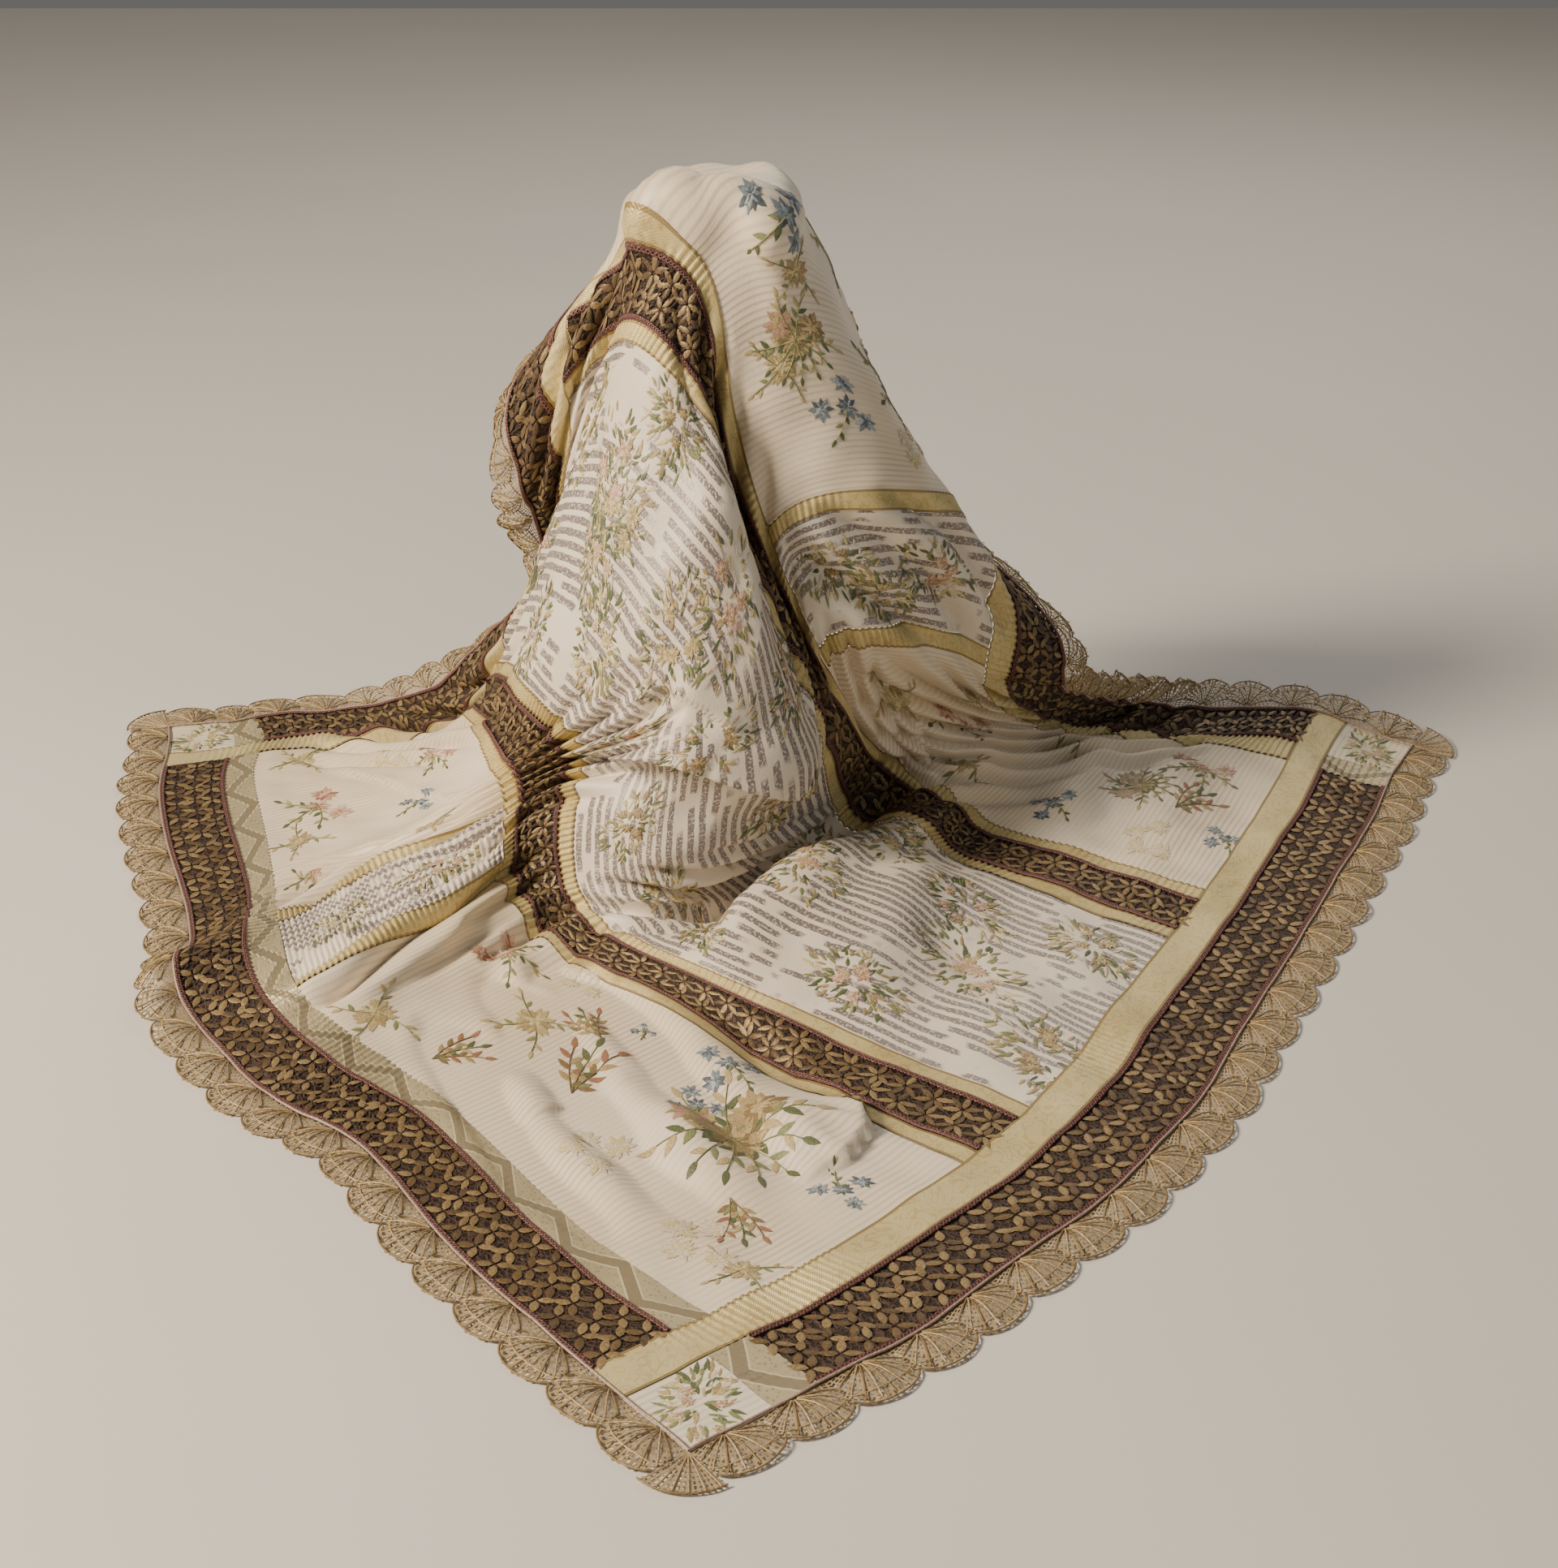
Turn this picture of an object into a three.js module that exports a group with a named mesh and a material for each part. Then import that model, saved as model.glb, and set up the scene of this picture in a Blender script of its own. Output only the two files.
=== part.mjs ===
// Altar cloth of pieced silk brocade, lace and gold galloon, draped over a square display post.
// Sizes in millimetres, +Z up. The drape is worked out from the places of its main folds.
import * as THREE from "three";

// Flat cloth: u runs along the front right side, v along the front left side, from the front corner.
const CLOTH_WIDTH = 828;
const CLOTH_LENGTH = 900;
const SHEET = 2;
const SEAM = 1.4;
const MESH = 19;

// Widths of the pieces, from the outer side inwards.
const LACE = 45;
const GALLOON = 24;
const CREAM = 182;
const NARROW = 12;
const INNER_LACE = 38;
const STRIPED = 202;

// Places of the cross bands along v.
const BAND_GALLOON = 15;
const BAND_START = 460;
const BAND_END = 540;

// Fan edging: length of a scallop, depth at its tip and in the dip between two.
const SCALLOP = 36;
const FAN_TIP = 26;
const FAN_DIP = 17;

// Display post under the peak, with eased top edges.
const POST_HALF_X = 23;
const POST_HALF_Y = 26;
const POST_HEIGHT = 385;
const POST_EASE = 12;
const POST_SIDE_ROOM = 12;
const POST_TOP_ROOM = 4;

// Grid that the drape is worked out on.
const EDGE = 27;
const STEPS_U = 49;
const STEPS_V = 53;
const CELL = 18;
const FLOOR = SHEET / 2;

// Where the main folds lie. Each row: u and v on the flat cloth, place x, y, z, and pull.
const FOLDS = {
  frontRightEdge: [
    [0, 0, -9, -551, 1, 1],
    [130, 0, 94, -471, 1, 1],
    [263, 0, 186, -376, 1, 1],
    [382, 0, 247, -274, 1, 1],
    [572, 0, 322, -99, 1, 1],
    [695, 0, 374, 13, 1, 1],
    [828, 0, 424, 131, 1, 1],
  ],
  frontLeftEdge: [
    [0, 83, -60, -486, 1, 1],
    [0, 184, -122, -406, 1, 1],
    [0, 278, -168, -324, 1, 1],
    [0, 378, -227, -276, 1, 1],
    [0, 480, -285, -190, 1, 1],
    [0, 524, -292, -168, 24, 1],
    [0, 566, -286, -146, 2, 1],
    [0, 620, -297, -97, 1, 1],
    [0, 726, -331, 3, 1, 1],
    [0, 808, -350, 83, 1, 1],
    [0, 900, -360, 165, 2, 1],
  ],
  postTop: [
    [572, 751, -33, -36, 389, 1],
    [625, 711, 33, -36, 389, 1],
    [668, 769, 33, 36, 389, 1],
    [615, 809, -33, 36, 389, 1],
    [620, 760, 0, 0, 389, 1],
  ],
  leftStrip: [
    [282, 69, 135, -310, 2, 1],
    [282, 152, 68, -269, 5, 1],
    [282, 208, 28, -235, 8, 1],
    [282, 289, -27, -180, 10, 1],
    [282, 356, -76, -140, 12, 1],
    [282, 412, -102, -96, 16, 1],
    [282, 490, -111, -68, 62, 0.7],
    [282, 700, -114, -30, 84, 1],
    [282, 831, -152, 81, 45, 1],
  ],
  rightStrip: [
    [546, 69, 254, -93, 2, 1],
    [546, 160, 185, -41, 8, 1],
    [546, 231, 133, -27, 14, 1],
    [546, 285, 110, -43, 50, 1],
    [546, 340, 90, 28, 16, 1],
    [546, 420, 66, -50, 86, 1],
    [546, 500, 39, -50, 149, 1],
    [577, 452, 48, -52, 147, 1],
    [575, 515, 26, -50, 196, 1],
    [546, 600, -14, -42, 215, 1],
    [546, 650, -18, -42, 275, 1],
    [571, 690, -4, -46, 333, 1],
    [546, 715, -20, -46, 337, 1],
    [546, 800, -75, -14, 326, 1],
    [546, 836, -99, -5, 290, 1],
    [560, 802, -68, 4, 354, 1],
  ],
  backFlap: [
    [560, 843, -109, 4, 292, 0.8],
    [508, 843, -87, -12, 252, 1],
    [560, 900, -145, 35, 234, 1],
    [510, 900, -119, 40, 197, 1],
    [460, 843, -98, 23, 209, 1],
    [460, 900, -114, 66, 163, 0.8],
    [380, 843, -112, 30, 140, 0.8],
    [380, 900, -112, 92, 110, 0.8],
  ],
  billowEdge: [
    [521, 665, -9, -54, 301, 1],
    [500, 630, 5, -70, 264, 1],
    [480, 585, 18, -86, 207, 1],
    [470, 550, 29, -96, 161, 1],
    [470, 488, 42, -96, 95, 1],
  ],
  billow: [
    [519, 705, -41, -56, 334, 1],
    [414, 700, -67, -80, 239, 1],
    [330, 700, -100, -76, 141, 1],
    [414, 600, -14, -112, 183, 0.6],
    [370, 600, -23, -116, 125, 0.6],
    [440, 760, -99, -40, 211, 0.6],
  ],
  centreFront: [
    [414, 250, 39, -123, 45, 1],
    [340, 290, -18, -177, 30, 0.6],
    [414, 69, 190, -213, 2, 1],
    [414, 160, 119, -150, 8, 0.5],
    [414, 322, 20, -70, 4, 0.6],
    [414, 394, -20, -118, 40, 0.6],
    [414, 480, -20, -112, 76, 0.6],
    [330, 470, -68, -100, 70, 0.6],
  ],
  leftCream: [
    [160, 69, 46, -413, 2, 1],
    [160, 390, -145, -152, 4, 0.5],
    [110, 436, -196, -193, 24, 1],
    [200, 436, -144, -144, 32, 1],
    [90, 500, -221, -143, 14, 0.7],
    [240, 500, -127, -87, 44, 0.8],
    [170, 536, -192, -81, 30, 0.8],
    [170, 680, -204, 9, 12, 0.8],
    [250, 700, -136, -43, 55, 0.6],
    [160, 800, -232, 102, 8, 0.7],
    [257, 835, -165, 84, 30, 1],
    [160, 900, -238, 187, 7, 1],
    [60, 900, -317, 172, 2, 1],
    [60, 924, -326, 193, 1, 1],
    [160, 924, -246, 209, 3, 1],
  ],
  rightCream: [
    [668, 69, 307, 27, 3, 1],
    [668, 200, 208, 60, 14, 0.5],
    [640, 335, 112, 6, 68, 0.5],
    [640, 420, 86, -40, 125, 0.7],
    [640, 548, 67, -44, 228, 1],
    [640, 640, 45, -44, 324, 1],
    [700, 500, 113, -20, 185, 0.7],
    [690, 610, 112, 4, 237, 1],
    [725, 552, 120, 8, 221, 1],
    [745, 505, 151, 18, 165, 1],
    [676, 690, 65, -4, 319, 1],
  ],
  rightBorder: [
    [805, 75, 354, 144, 14, 1],
    [805, 235, 231, 139, 22, 1],
    [771, 500, 166, 30, 134, 1],
    [771, 440, 148, 25, 85, 0.6],
    [828, 480, 200, 45, 110, 1],
    [771, 610, 90, 80, 222, 1],
    [771, 690, 75, 75, 280, 1],
    [828, 610, 90, 112, 182, 1],
  ],
  hiddenBack: [
    [828, 900, 10, 165, 190, 0.6],
    [700, 900, -60, 90, 285, 0.6],
    [828, 700, 80, 120, 245, 0.8],
  ],
};

// Tuck where cloth is gathered under the upper fold. Each row: u, v where it starts, depth.
const TUCK = [
  [80, 560, 0],
  [160, 550, 40],
  [250, 520, 78],
  [282, 506, 94],
  [395, 512, 40],
  [480, 495, 0],
];
const TUCK_LEFT = 0.3;

// Softer creases. Each row: start u, v, end u, v, height (down if negative), half width.
const CREASES = [
  [90, 200, 235, 150, 5, 26],
  [100, 300, 240, 330, -5, 24],
  [110, 120, 240, 250, 4, 22],
  [330, 120, 500, 100, 4, 24],
  [330, 180, 500, 215, 6, 24],
  [600, 110, 740, 150, 7, 26],
  [600, 190, 745, 205, 9, 24],
  [600, 260, 700, 330, 8, 22],
  [360, 640, 505, 620, 6, 20],
  [350, 690, 470, 740, -6, 20],
  [600, 470, 740, 420, 6, 22],
  [335, 270, 565, 262, 12, 22],
  [350, 335, 575, 335, -11, 20],
  [559, 761, 638, 701, 9, 15],
  [615, 698, 678, 782, 3, 15],
  [681, 759, 602, 819, 3, 15],
  [625, 822, 562, 738, 12, 15],
  [335, 570, 505, 450, 6, 18],
  [320, 525, 490, 410, -6, 16],
  [190, 134, 258, 152, 7, 20],
];

// Spline and relaxing settings.
const SPLINE_SOFT = 20;
const SPLINE_EASE = 6;
const RELAX_ROUNDS = 60;
const RELAX_PASSES = 6;
const SMOOTHING = 0.35;
const FINAL_ROUNDS = 3;
const HOLD = 0.06;
const EDGE_KEEP = 0.5;

const rows = Object.values(FOLDS).flat();

// How far along v the cloth reaches once the tuck is gathered.
function gatheredV(u, v) {
  let start = TUCK[0][1];
  let depth = 0;
  for (let k = 1; k < TUCK.length; k += 1) {
    const [u0, v0, d0] = TUCK[k - 1];
    const [u1, v1, d1] = TUCK[k];
    if (u > u0 && u <= u1) {
      const t = (u - u0) / (u1 - u0);
      start = v0 + (v1 - v0) * t;
      depth = d0 + (d1 - d0) * t;
    }
  }
  if (v <= start) return v;
  if (v < start + 2 * depth) return start + TUCK_LEFT * (v - start);
  return v - 2 * depth * (1 - TUCK_LEFT);
}

// Solves a small set of equations with three right-hand sides.
function solve(matrix, right) {
  const n = matrix.length;
  for (let k = 0; k < n; k += 1) {
    let best = k;
    for (let r = k + 1; r < n; r += 1) {
      if (Math.abs(matrix[r][k]) > Math.abs(matrix[best][k])) best = r;
    }
    [matrix[k], matrix[best]] = [matrix[best], matrix[k]];
    [right[k], right[best]] = [right[best], right[k]];
    for (let r = k + 1; r < n; r += 1) {
      const f = matrix[r][k] / matrix[k][k];
      if (f === 0) continue;
      for (let c = 0; c < n; c += 1) matrix[r][c] -= f * matrix[k][c];
      for (let c = 0; c < 3; c += 1) right[r][c] -= f * right[k][c];
    }
  }
  const answer = right.map(() => [0, 0, 0]);
  for (let k = n - 1; k >= 0; k -= 1) {
    for (let a = 0; a < 3; a += 1) {
      let s = right[k][a];
      for (let c = k + 1; c < n; c += 1) s -= matrix[k][c] * answer[c][a];
      answer[k][a] = s / matrix[k][k];
    }
  }
  return answer;
}

const softDistance = (du, dv) => Math.sqrt(du * du + dv * dv + SPLINE_SOFT * SPLINE_SOFT);
const gridU = (i) => i * CELL - EDGE;
const gridV = (j) => j * CELL - EDGE;
const NODES_V = STEPS_V + 1;
const node = (i, j) => (i * NODES_V + j) * 3;

// First shape: a smooth spline through the places of the folds.
function splineShape() {
  const n = rows.length;
  const size = n + 3;
  const matrix = Array.from({ length: size }, () => new Array(size).fill(0));
  const right = Array.from({ length: size }, () => [0, 0, 0]);
  const flat = rows.map(([u, v]) => [u, gatheredV(u, v)]);
  for (let r = 0; r < n; r += 1) {
    for (let c = 0; c < n; c += 1) {
      matrix[r][c] = softDistance(flat[r][0] - flat[c][0], flat[r][1] - flat[c][1]);
    }
    matrix[r][r] -= SPLINE_EASE;
    const line = [1, flat[r][0], flat[r][1]];
    for (let c = 0; c < 3; c += 1) {
      matrix[r][n + c] = line[c];
      matrix[n + c][r] = line[c];
    }
    right[r] = rows[r].slice(2, 5);
  }
  const weight = solve(matrix, right);
  const place = new Float64Array((STEPS_U + 1) * NODES_V * 3);
  for (let i = 0; i <= STEPS_U; i += 1) {
    for (let j = 0; j <= STEPS_V; j += 1) {
      const u = gridU(i);
      const v = gatheredV(u, gridV(j));
      for (let a = 0; a < 3; a += 1) {
        let s = weight[n][a] + u * weight[n + 1][a] + v * weight[n + 2][a];
        for (let k = 0; k < n; k += 1) s += softDistance(u - flat[k][0], v - flat[k][1]) * weight[k][a];
        place[node(i, j) + a] = s;
      }
    }
  }
  return place;
}

// Moves each node toward the middle of its neighbours, along u and then along v.
function smooth(place, amount) {
  const first = place.slice();
  for (let i = 1; i < STEPS_U; i += 1) {
    for (let j = 0; j <= STEPS_V; j += 1) {
      for (let a = 0; a < 3; a += 1) {
        const p = node(i, j) + a;
        const middle = (place[node(i - 1, j) + a] + place[node(i + 1, j) + a]) * 0.5;
        first[p] = place[p] + (middle - place[p]) * amount;
      }
    }
  }
  const second = first.slice();
  for (let i = 0; i <= STEPS_U; i += 1) {
    for (let j = 1; j < STEPS_V; j += 1) {
      for (let a = 0; a < 3; a += 1) {
        const p = node(i, j) + a;
        const middle = (first[p - 3] + first[p + 3]) * 0.5;
        second[p] = first[p] + (middle - first[p]) * amount;
      }
    }
  }
  return second;
}

// Brings two nodes back to their flat distance when stretched, and a little when squeezed.
function tie(place, p, q, rest, stretch, squeeze) {
  const x = place[q] - place[p];
  const y = place[q + 1] - place[p + 1];
  const z = place[q + 2] - place[p + 2];
  const length = Math.sqrt(x * x + y * y + z * z) + 1e-9;
  const off = (length - rest) / length;
  const f = 0.5 * (off > 0 ? off * stretch : off * squeeze);
  place[p] += x * f;
  place[p + 1] += y * f;
  place[p + 2] += z * f;
  place[q] -= x * f;
  place[q + 1] -= y * f;
  place[q + 2] -= z * f;
}

// All the ties of the sheet, in an order that never depends on its neighbours.
function tieList() {
  const ties = [];
  const flatV = (i, j) => gatheredV(gridU(i), gridV(j));
  const nearEdge = (k, steps) => (k < 3 || k >= steps - 3 ? EDGE_KEEP : 0);
  for (let odd = 0; odd < 2; odd += 1) {
    for (let i = odd; i < STEPS_U; i += 2) {
      for (let j = 0; j <= STEPS_V; j += 1) {
        ties.push([node(i, j), node(i + 1, j), CELL, 1, nearEdge(i, STEPS_U)]);
      }
    }
    for (let i = 0; i <= STEPS_U; i += 1) {
      for (let j = odd; j < STEPS_V; j += 2) {
        const rest = Math.max(flatV(i, j + 1) - flatV(i, j), 0.5);
        ties.push([node(i, j), node(i, j + 1), rest, 1, nearEdge(j, STEPS_V)]);
      }
    }
  }
  for (let odd = 0; odd < 2; odd += 1) {
    for (const [a, b] of [[0, 1], [1, 0]]) {
      for (let i = odd; i < STEPS_U; i += 2) {
        for (let j = 0; j < STEPS_V; j += 1) {
          const dv = flatV(i + 1, j + b) - flatV(i, j + a);
          ties.push([node(i, j + a), node(i + 1, j + b), Math.sqrt(CELL * CELL + dv * dv), 0.25, 0]);
        }
      }
    }
  }
  return ties;
}

// Pulls the sheet gently toward the places of its folds.
function holdFolds(place) {
  const moves = [];
  for (const [u, v, x, y, z, pull] of rows) {
    const fu = (u + EDGE) / CELL;
    const fv = (v + EDGE) / CELL;
    const i = Math.min(Math.trunc(fu), STEPS_U - 1);
    const j = Math.min(Math.trunc(fv), STEPS_V - 1);
    const a = fu - i;
    const b = fv - j;
    const share = [(1 - a) * (1 - b), a * (1 - b), (1 - a) * b, a * b];
    const at = [node(i, j), node(i + 1, j), node(i, j + 1), node(i + 1, j + 1)];
    const strength = (HOLD * pull) / share.reduce((s, w) => s + w * w, 0);
    const goal = [x, y, z];
    const move = goal.map((g, k) => (g - at.reduce((s, p, c) => s + place[p + k] * share[c], 0)) * strength);
    moves.push({ at, share, move });
  }
  for (let c = 0; c < 4; c += 1) {
    for (const { at, share, move } of moves) {
      for (let k = 0; k < 3; k += 1) place[at[c] + k] += move[k] * share[c];
    }
  }
}

// Keeps the sheet outside the post and above the table.
function clearPost(place) {
  const hx = POST_HALF_X + POST_SIDE_ROOM;
  const hy = POST_HALF_Y + POST_SIDE_ROOM;
  const top = POST_HEIGHT + POST_TOP_ROOM;
  for (let p = 0; p < place.length; p += 3) {
    const dx = hx - Math.abs(place[p]);
    const dy = hy - Math.abs(place[p + 1]);
    const dz = top - place[p + 2];
    if (dx > 0 && dy > 0 && dz > 0) {
      if (dx <= dy && dx <= dz) place[p] = place[p] < 0 ? -hx : hx;
      else if (dy <= dz) place[p + 1] = place[p + 1] < 0 ? -hy : hy;
      else place[p + 2] = top;
    }
    place[p + 2] = Math.max(place[p + 2], FLOOR);
  }
}

function drapedGrid() {
  let place = splineShape();
  for (let p = 2; p < place.length; p += 3) place[p] = Math.max(place[p], FLOOR);
  const ties = tieList();
  for (let round = 0; round < RELAX_ROUNDS; round += 1) {
    place = smooth(smooth(place, SMOOTHING), -SMOOTHING * 1.04);
    for (let pass = 0; pass < RELAX_PASSES; pass += 1) {
      for (const [p, q, rest, stretch, squeeze] of ties) tie(place, p, q, rest, stretch, squeeze);
      holdFolds(place);
      clearPost(place);
    }
  }
  for (let round = 0; round < FINAL_ROUNDS; round += 1) {
    place = smooth(place, SMOOTHING);
    clearPost(place);
  }
  return place;
}

const grid = drapedGrid();

// Place of a grid node; past the rim the sheet runs straight on.
function gridPlace(i, j, a) {
  if (i < 0) return 2 * gridPlace(0, j, a) - gridPlace(1, j, a);
  if (i > STEPS_U) return 2 * gridPlace(STEPS_U, j, a) - gridPlace(STEPS_U - 1, j, a);
  if (j < 0) return 2 * grid[node(i, 0) + a] - grid[node(i, 1) + a];
  if (j > STEPS_V) return 2 * grid[node(i, STEPS_V) + a] - grid[node(i, STEPS_V - 1) + a];
  return grid[node(i, j) + a];
}

function cubicShares(t) {
  return [
    ((-0.5 * t + 1) * t - 0.5) * t,
    (1.5 * t - 2.5) * t * t + 1,
    ((-1.5 * t + 2) * t + 0.5) * t,
    (0.5 * t - 0.5) * t * t,
  ];
}

// Smooth place of any point of the flat cloth.
function smoothPlace(u, v) {
  const fu = Math.min(Math.max((u + EDGE) / CELL, 0), STEPS_U);
  const fv = Math.min(Math.max((v + EDGE) / CELL, 0), STEPS_V);
  const i = Math.min(Math.trunc(fu), STEPS_U - 1);
  const j = Math.min(Math.trunc(fv), STEPS_V - 1);
  const su = cubicShares(fu - i);
  const sv = cubicShares(fv - j);
  const out = new THREE.Vector3();
  for (let r = 0; r < 4; r += 1) {
    for (let c = 0; c < 4; c += 1) {
      const share = su[r] * sv[c];
      out.x += share * gridPlace(i + r - 1, j + c - 1, 0);
      out.y += share * gridPlace(i + r - 1, j + c - 1, 1);
      out.z += share * gridPlace(i + r - 1, j + c - 1, 2);
    }
  }
  return out;
}

// Height of the softer creases at a point of the flat cloth.
function creaseHeight(u, v) {
  let height = 0;
  for (const [u0, v0, u1, v1, rise, half] of CREASES) {
    const du = u1 - u0;
    const dv = v1 - v0;
    const t = ((u - u0) * du + (v - v0) * dv) / (du * du + dv * dv);
    const near = Math.min(Math.max(t, 0), 1);
    const away = Math.hypot(u - u0 - near * du, v - v0 - near * dv) / half;
    const fade = Math.min(1, 4 * near + 0.25, 4 * (1 - near) + 0.25);
    height += rise * fade * Math.exp(-away * away);
  }
  return height;
}

// One side of the sheet at a point of the flat cloth, half the thickness above or below its middle.
// The last two numbers of a point move it off a seam, along u and along v.
function sheetPlace([u, v, offU, offV], side) {
  const reach = 4;
  const alongU = smoothPlace(u + reach, v).sub(smoothPlace(u - reach, v)).normalize();
  const alongV = smoothPlace(u, v + reach).sub(smoothPlace(u, v - reach)).normalize();
  const normal = alongU.clone().cross(alongV);
  const slant = Math.max(normal.length(), 0.25);
  normal.normalize();
  const place = smoothPlace(u, v).addScaledVector(normal, creaseHeight(u, v));
  place.z = Math.max(place.z, FLOOR);
  place.addScaledVector(normal, (side * SHEET) / 2);
  place.addScaledVector(alongU, offU / slant).addScaledVector(alongV, offV / slant);
  place.z = Math.max(place.z, side > 0 ? SHEET : 0);
  return place;
}

// Closed solid between two grids of flat points: an upper skin, a lower skin and the rim.
function sheetSolid(points) {
  const across = points.length;
  const along = points[0].length;
  const position = [];
  const index = [];
  for (const side of [1, -1]) {
    for (const line of points) {
      for (const point of line) position.push(...sheetPlace(point, side).toArray());
    }
  }
  const upper = (i, j) => i * along + j;
  const lower = (i, j) => across * along + i * along + j;
  const quad = (a, b, c, d) => index.push(a, b, c, a, c, d);
  for (let i = 0; i + 1 < across; i += 1) {
    for (let j = 0; j + 1 < along; j += 1) {
      quad(upper(i, j), upper(i + 1, j), upper(i + 1, j + 1), upper(i, j + 1));
      quad(lower(i, j), lower(i, j + 1), lower(i + 1, j + 1), lower(i + 1, j));
    }
    quad(lower(i, 0), lower(i + 1, 0), upper(i + 1, 0), upper(i, 0));
    quad(upper(i, along - 1), upper(i + 1, along - 1), lower(i + 1, along - 1), lower(i, along - 1));
  }
  for (let j = 0; j + 1 < along; j += 1) {
    quad(upper(0, j), upper(0, j + 1), lower(0, j + 1), lower(0, j));
    quad(lower(across - 1, j), lower(across - 1, j + 1), upper(across - 1, j + 1), upper(across - 1, j));
  }
  const solid = new THREE.BufferGeometry();
  solid.setAttribute("position", new THREE.Float32BufferAttribute(position, 3));
  solid.setIndex(index);
  return solid;
}

// Lines across the cloth: every seam, and even steps between one seam and the next.
function allLines(seams) {
  const lines = [];
  for (let k = 0; k + 1 < seams.length; k += 1) {
    const width = seams[k + 1] - seams[k];
    const steps = Math.max(1, Math.round(width / MESH));
    for (let s = 0; s < steps; s += 1) lines.push(seams[k] + (width * s) / steps);
  }
  lines.push(seams[seams.length - 1]);
  return lines;
}

// The lines of one piece, with how far its first and last line stand off the seam.
function linesBetween(lines, start, end) {
  const inside = lines.filter((x) => x >= start && x <= end);
  return inside.map((x) => [x, x === start ? SEAM / 2 : x === end ? -SEAM / 2 : 0]);
}

function panelSolid(u0, u1, v0, v1) {
  const vLines = linesBetween(V_LINES, v0, v1);
  const uLines = linesBetween(U_LINES, u0, u1);
  return sheetSolid(uLines.map(([u, offU]) => vLines.map(([v, offV]) => [u, v, offU, offV])));
}

// Depth of the fan edging at a distance along its heading.
function fanDepth(distance) {
  const phase = distance / SCALLOP - Math.floor(distance / SCALLOP);
  return FAN_DIP + (FAN_TIP - FAN_DIP) * Math.sqrt(Math.sin(Math.PI * phase));
}

// Fan edging along one side. On the front and back it turns the corners as quarter rounds.
function edgingSolid(length, withCorners, toFlat) {
  const stops = [];
  const cornerParts = withCorners ? [1, 0.85, 0.55] : [];
  const cornerDepth = (c) => FAN_TIP * Math.sqrt(1 - c * c * 0.985);
  for (const c of cornerParts) stops.push([-FAN_TIP * c, cornerDepth(c), 0]);
  for (let d = 0; d <= length; d += SCALLOP / 4) stops.push([d, fanDepth(d), 0]);
  for (const c of cornerParts.reverse()) stops.push([length + FAN_TIP * c, cornerDepth(c), 0]);
  if (!withCorners) {
    stops[0][2] = SEAM / 2;
    stops[stops.length - 1][2] = -SEAM / 2;
  }
  const heading = stops.map(([d, , off]) => toFlat(d, 0, off, SEAM / 2));
  const rim = stops.map(([d, depth, off]) => toFlat(d, depth, off, 0));
  const [a, b, c] = [heading[0], rim[1], heading[1]];
  const turn = (b[0] - a[0]) * (c[1] - a[1]) - (b[1] - a[1]) * (c[0] - a[0]);
  return sheetSolid(turn > 0 ? [heading, rim] : [rim, heading]);
}

// Square post with eased top edges.
function postSolid() {
  const section = (inset, z) => [
    [-POST_HALF_X + inset, -POST_HALF_Y + inset, z],
    [POST_HALF_X - inset, -POST_HALF_Y + inset, z],
    [POST_HALF_X - inset, POST_HALF_Y - inset, z],
    [-POST_HALF_X + inset, POST_HALF_Y - inset, z],
  ];
  const rings = [section(0, 0), section(0, POST_HEIGHT - POST_EASE), section(POST_EASE, POST_HEIGHT)];
  const index = [0, 2, 1, 0, 3, 2, 8, 9, 10, 8, 10, 11];
  for (let r = 0; r < 2; r += 1) {
    for (let k = 0; k < 4; k += 1) {
      const a = r * 4 + k;
      const b = r * 4 + ((k + 1) % 4);
      index.push(a, b, b + 4, a, b + 4, a + 4);
    }
  }
  const solid = new THREE.BufferGeometry();
  solid.setAttribute("position", new THREE.Float32BufferAttribute(rings.flat(2), 3));
  solid.setIndex(index);
  return solid;
}

const surface = (color, roughness, metalness) => new THREE.MeshStandardMaterial({ color, roughness, metalness });
const materials = {
  cream: surface(0xe8dcc6, 0.55, 0),
  striped: surface(0xb9b0ac, 0.55, 0),
  galloon: surface(0xcdbb86, 0.45, 0.3),
  grey: surface(0xa79d7f, 0.5, 0.3),
  lace: surface(0x6b5233, 0.6, 0.15),
  patch: surface(0xded6c4, 0.55, 0),
  fans: surface(0x8d7650, 0.6, 0.2),
  wood: surface(0x8a6a48, 0.6, 0),
};

// Seams along u and v, worked out from the widths.
const uGalloon = LACE;
const uLeft = uGalloon + GALLOON;
const uStripLeft = uLeft + CREAM;
const uLaceLeft = uStripLeft + NARROW;
const uInnerLeft = uLaceLeft + INNER_LACE;
const uCentre = uInnerLeft + NARROW;
const uInnerRight = uCentre + STRIPED;
const uLaceRight = uInnerRight + NARROW;
const uStripRight = uLaceRight + INNER_LACE;
const uRight = uStripRight + NARROW;
const uGalloonRight = uRight + CREAM;
const uLaceOuter = uGalloonRight + GALLOON;
const vFront = LACE + GALLOON;
const vBack = CLOTH_LENGTH - vFront;
const bandFront = BAND_START - BAND_GALLOON;
const bandBack = BAND_END + BAND_GALLOON;
const uSeams = [0, uGalloon, uLeft, uStripLeft, uLaceLeft, uInnerLeft, uCentre];
const U_LINES = allLines([...uSeams, ...uSeams.map((u) => CLOTH_WIDTH - u).reverse()]);
const V_LINES = allLines([0, LACE, vFront, bandFront, BAND_START, BAND_END, bandBack, vBack,
  CLOTH_LENGTH - LACE, CLOTH_LENGTH]);

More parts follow.
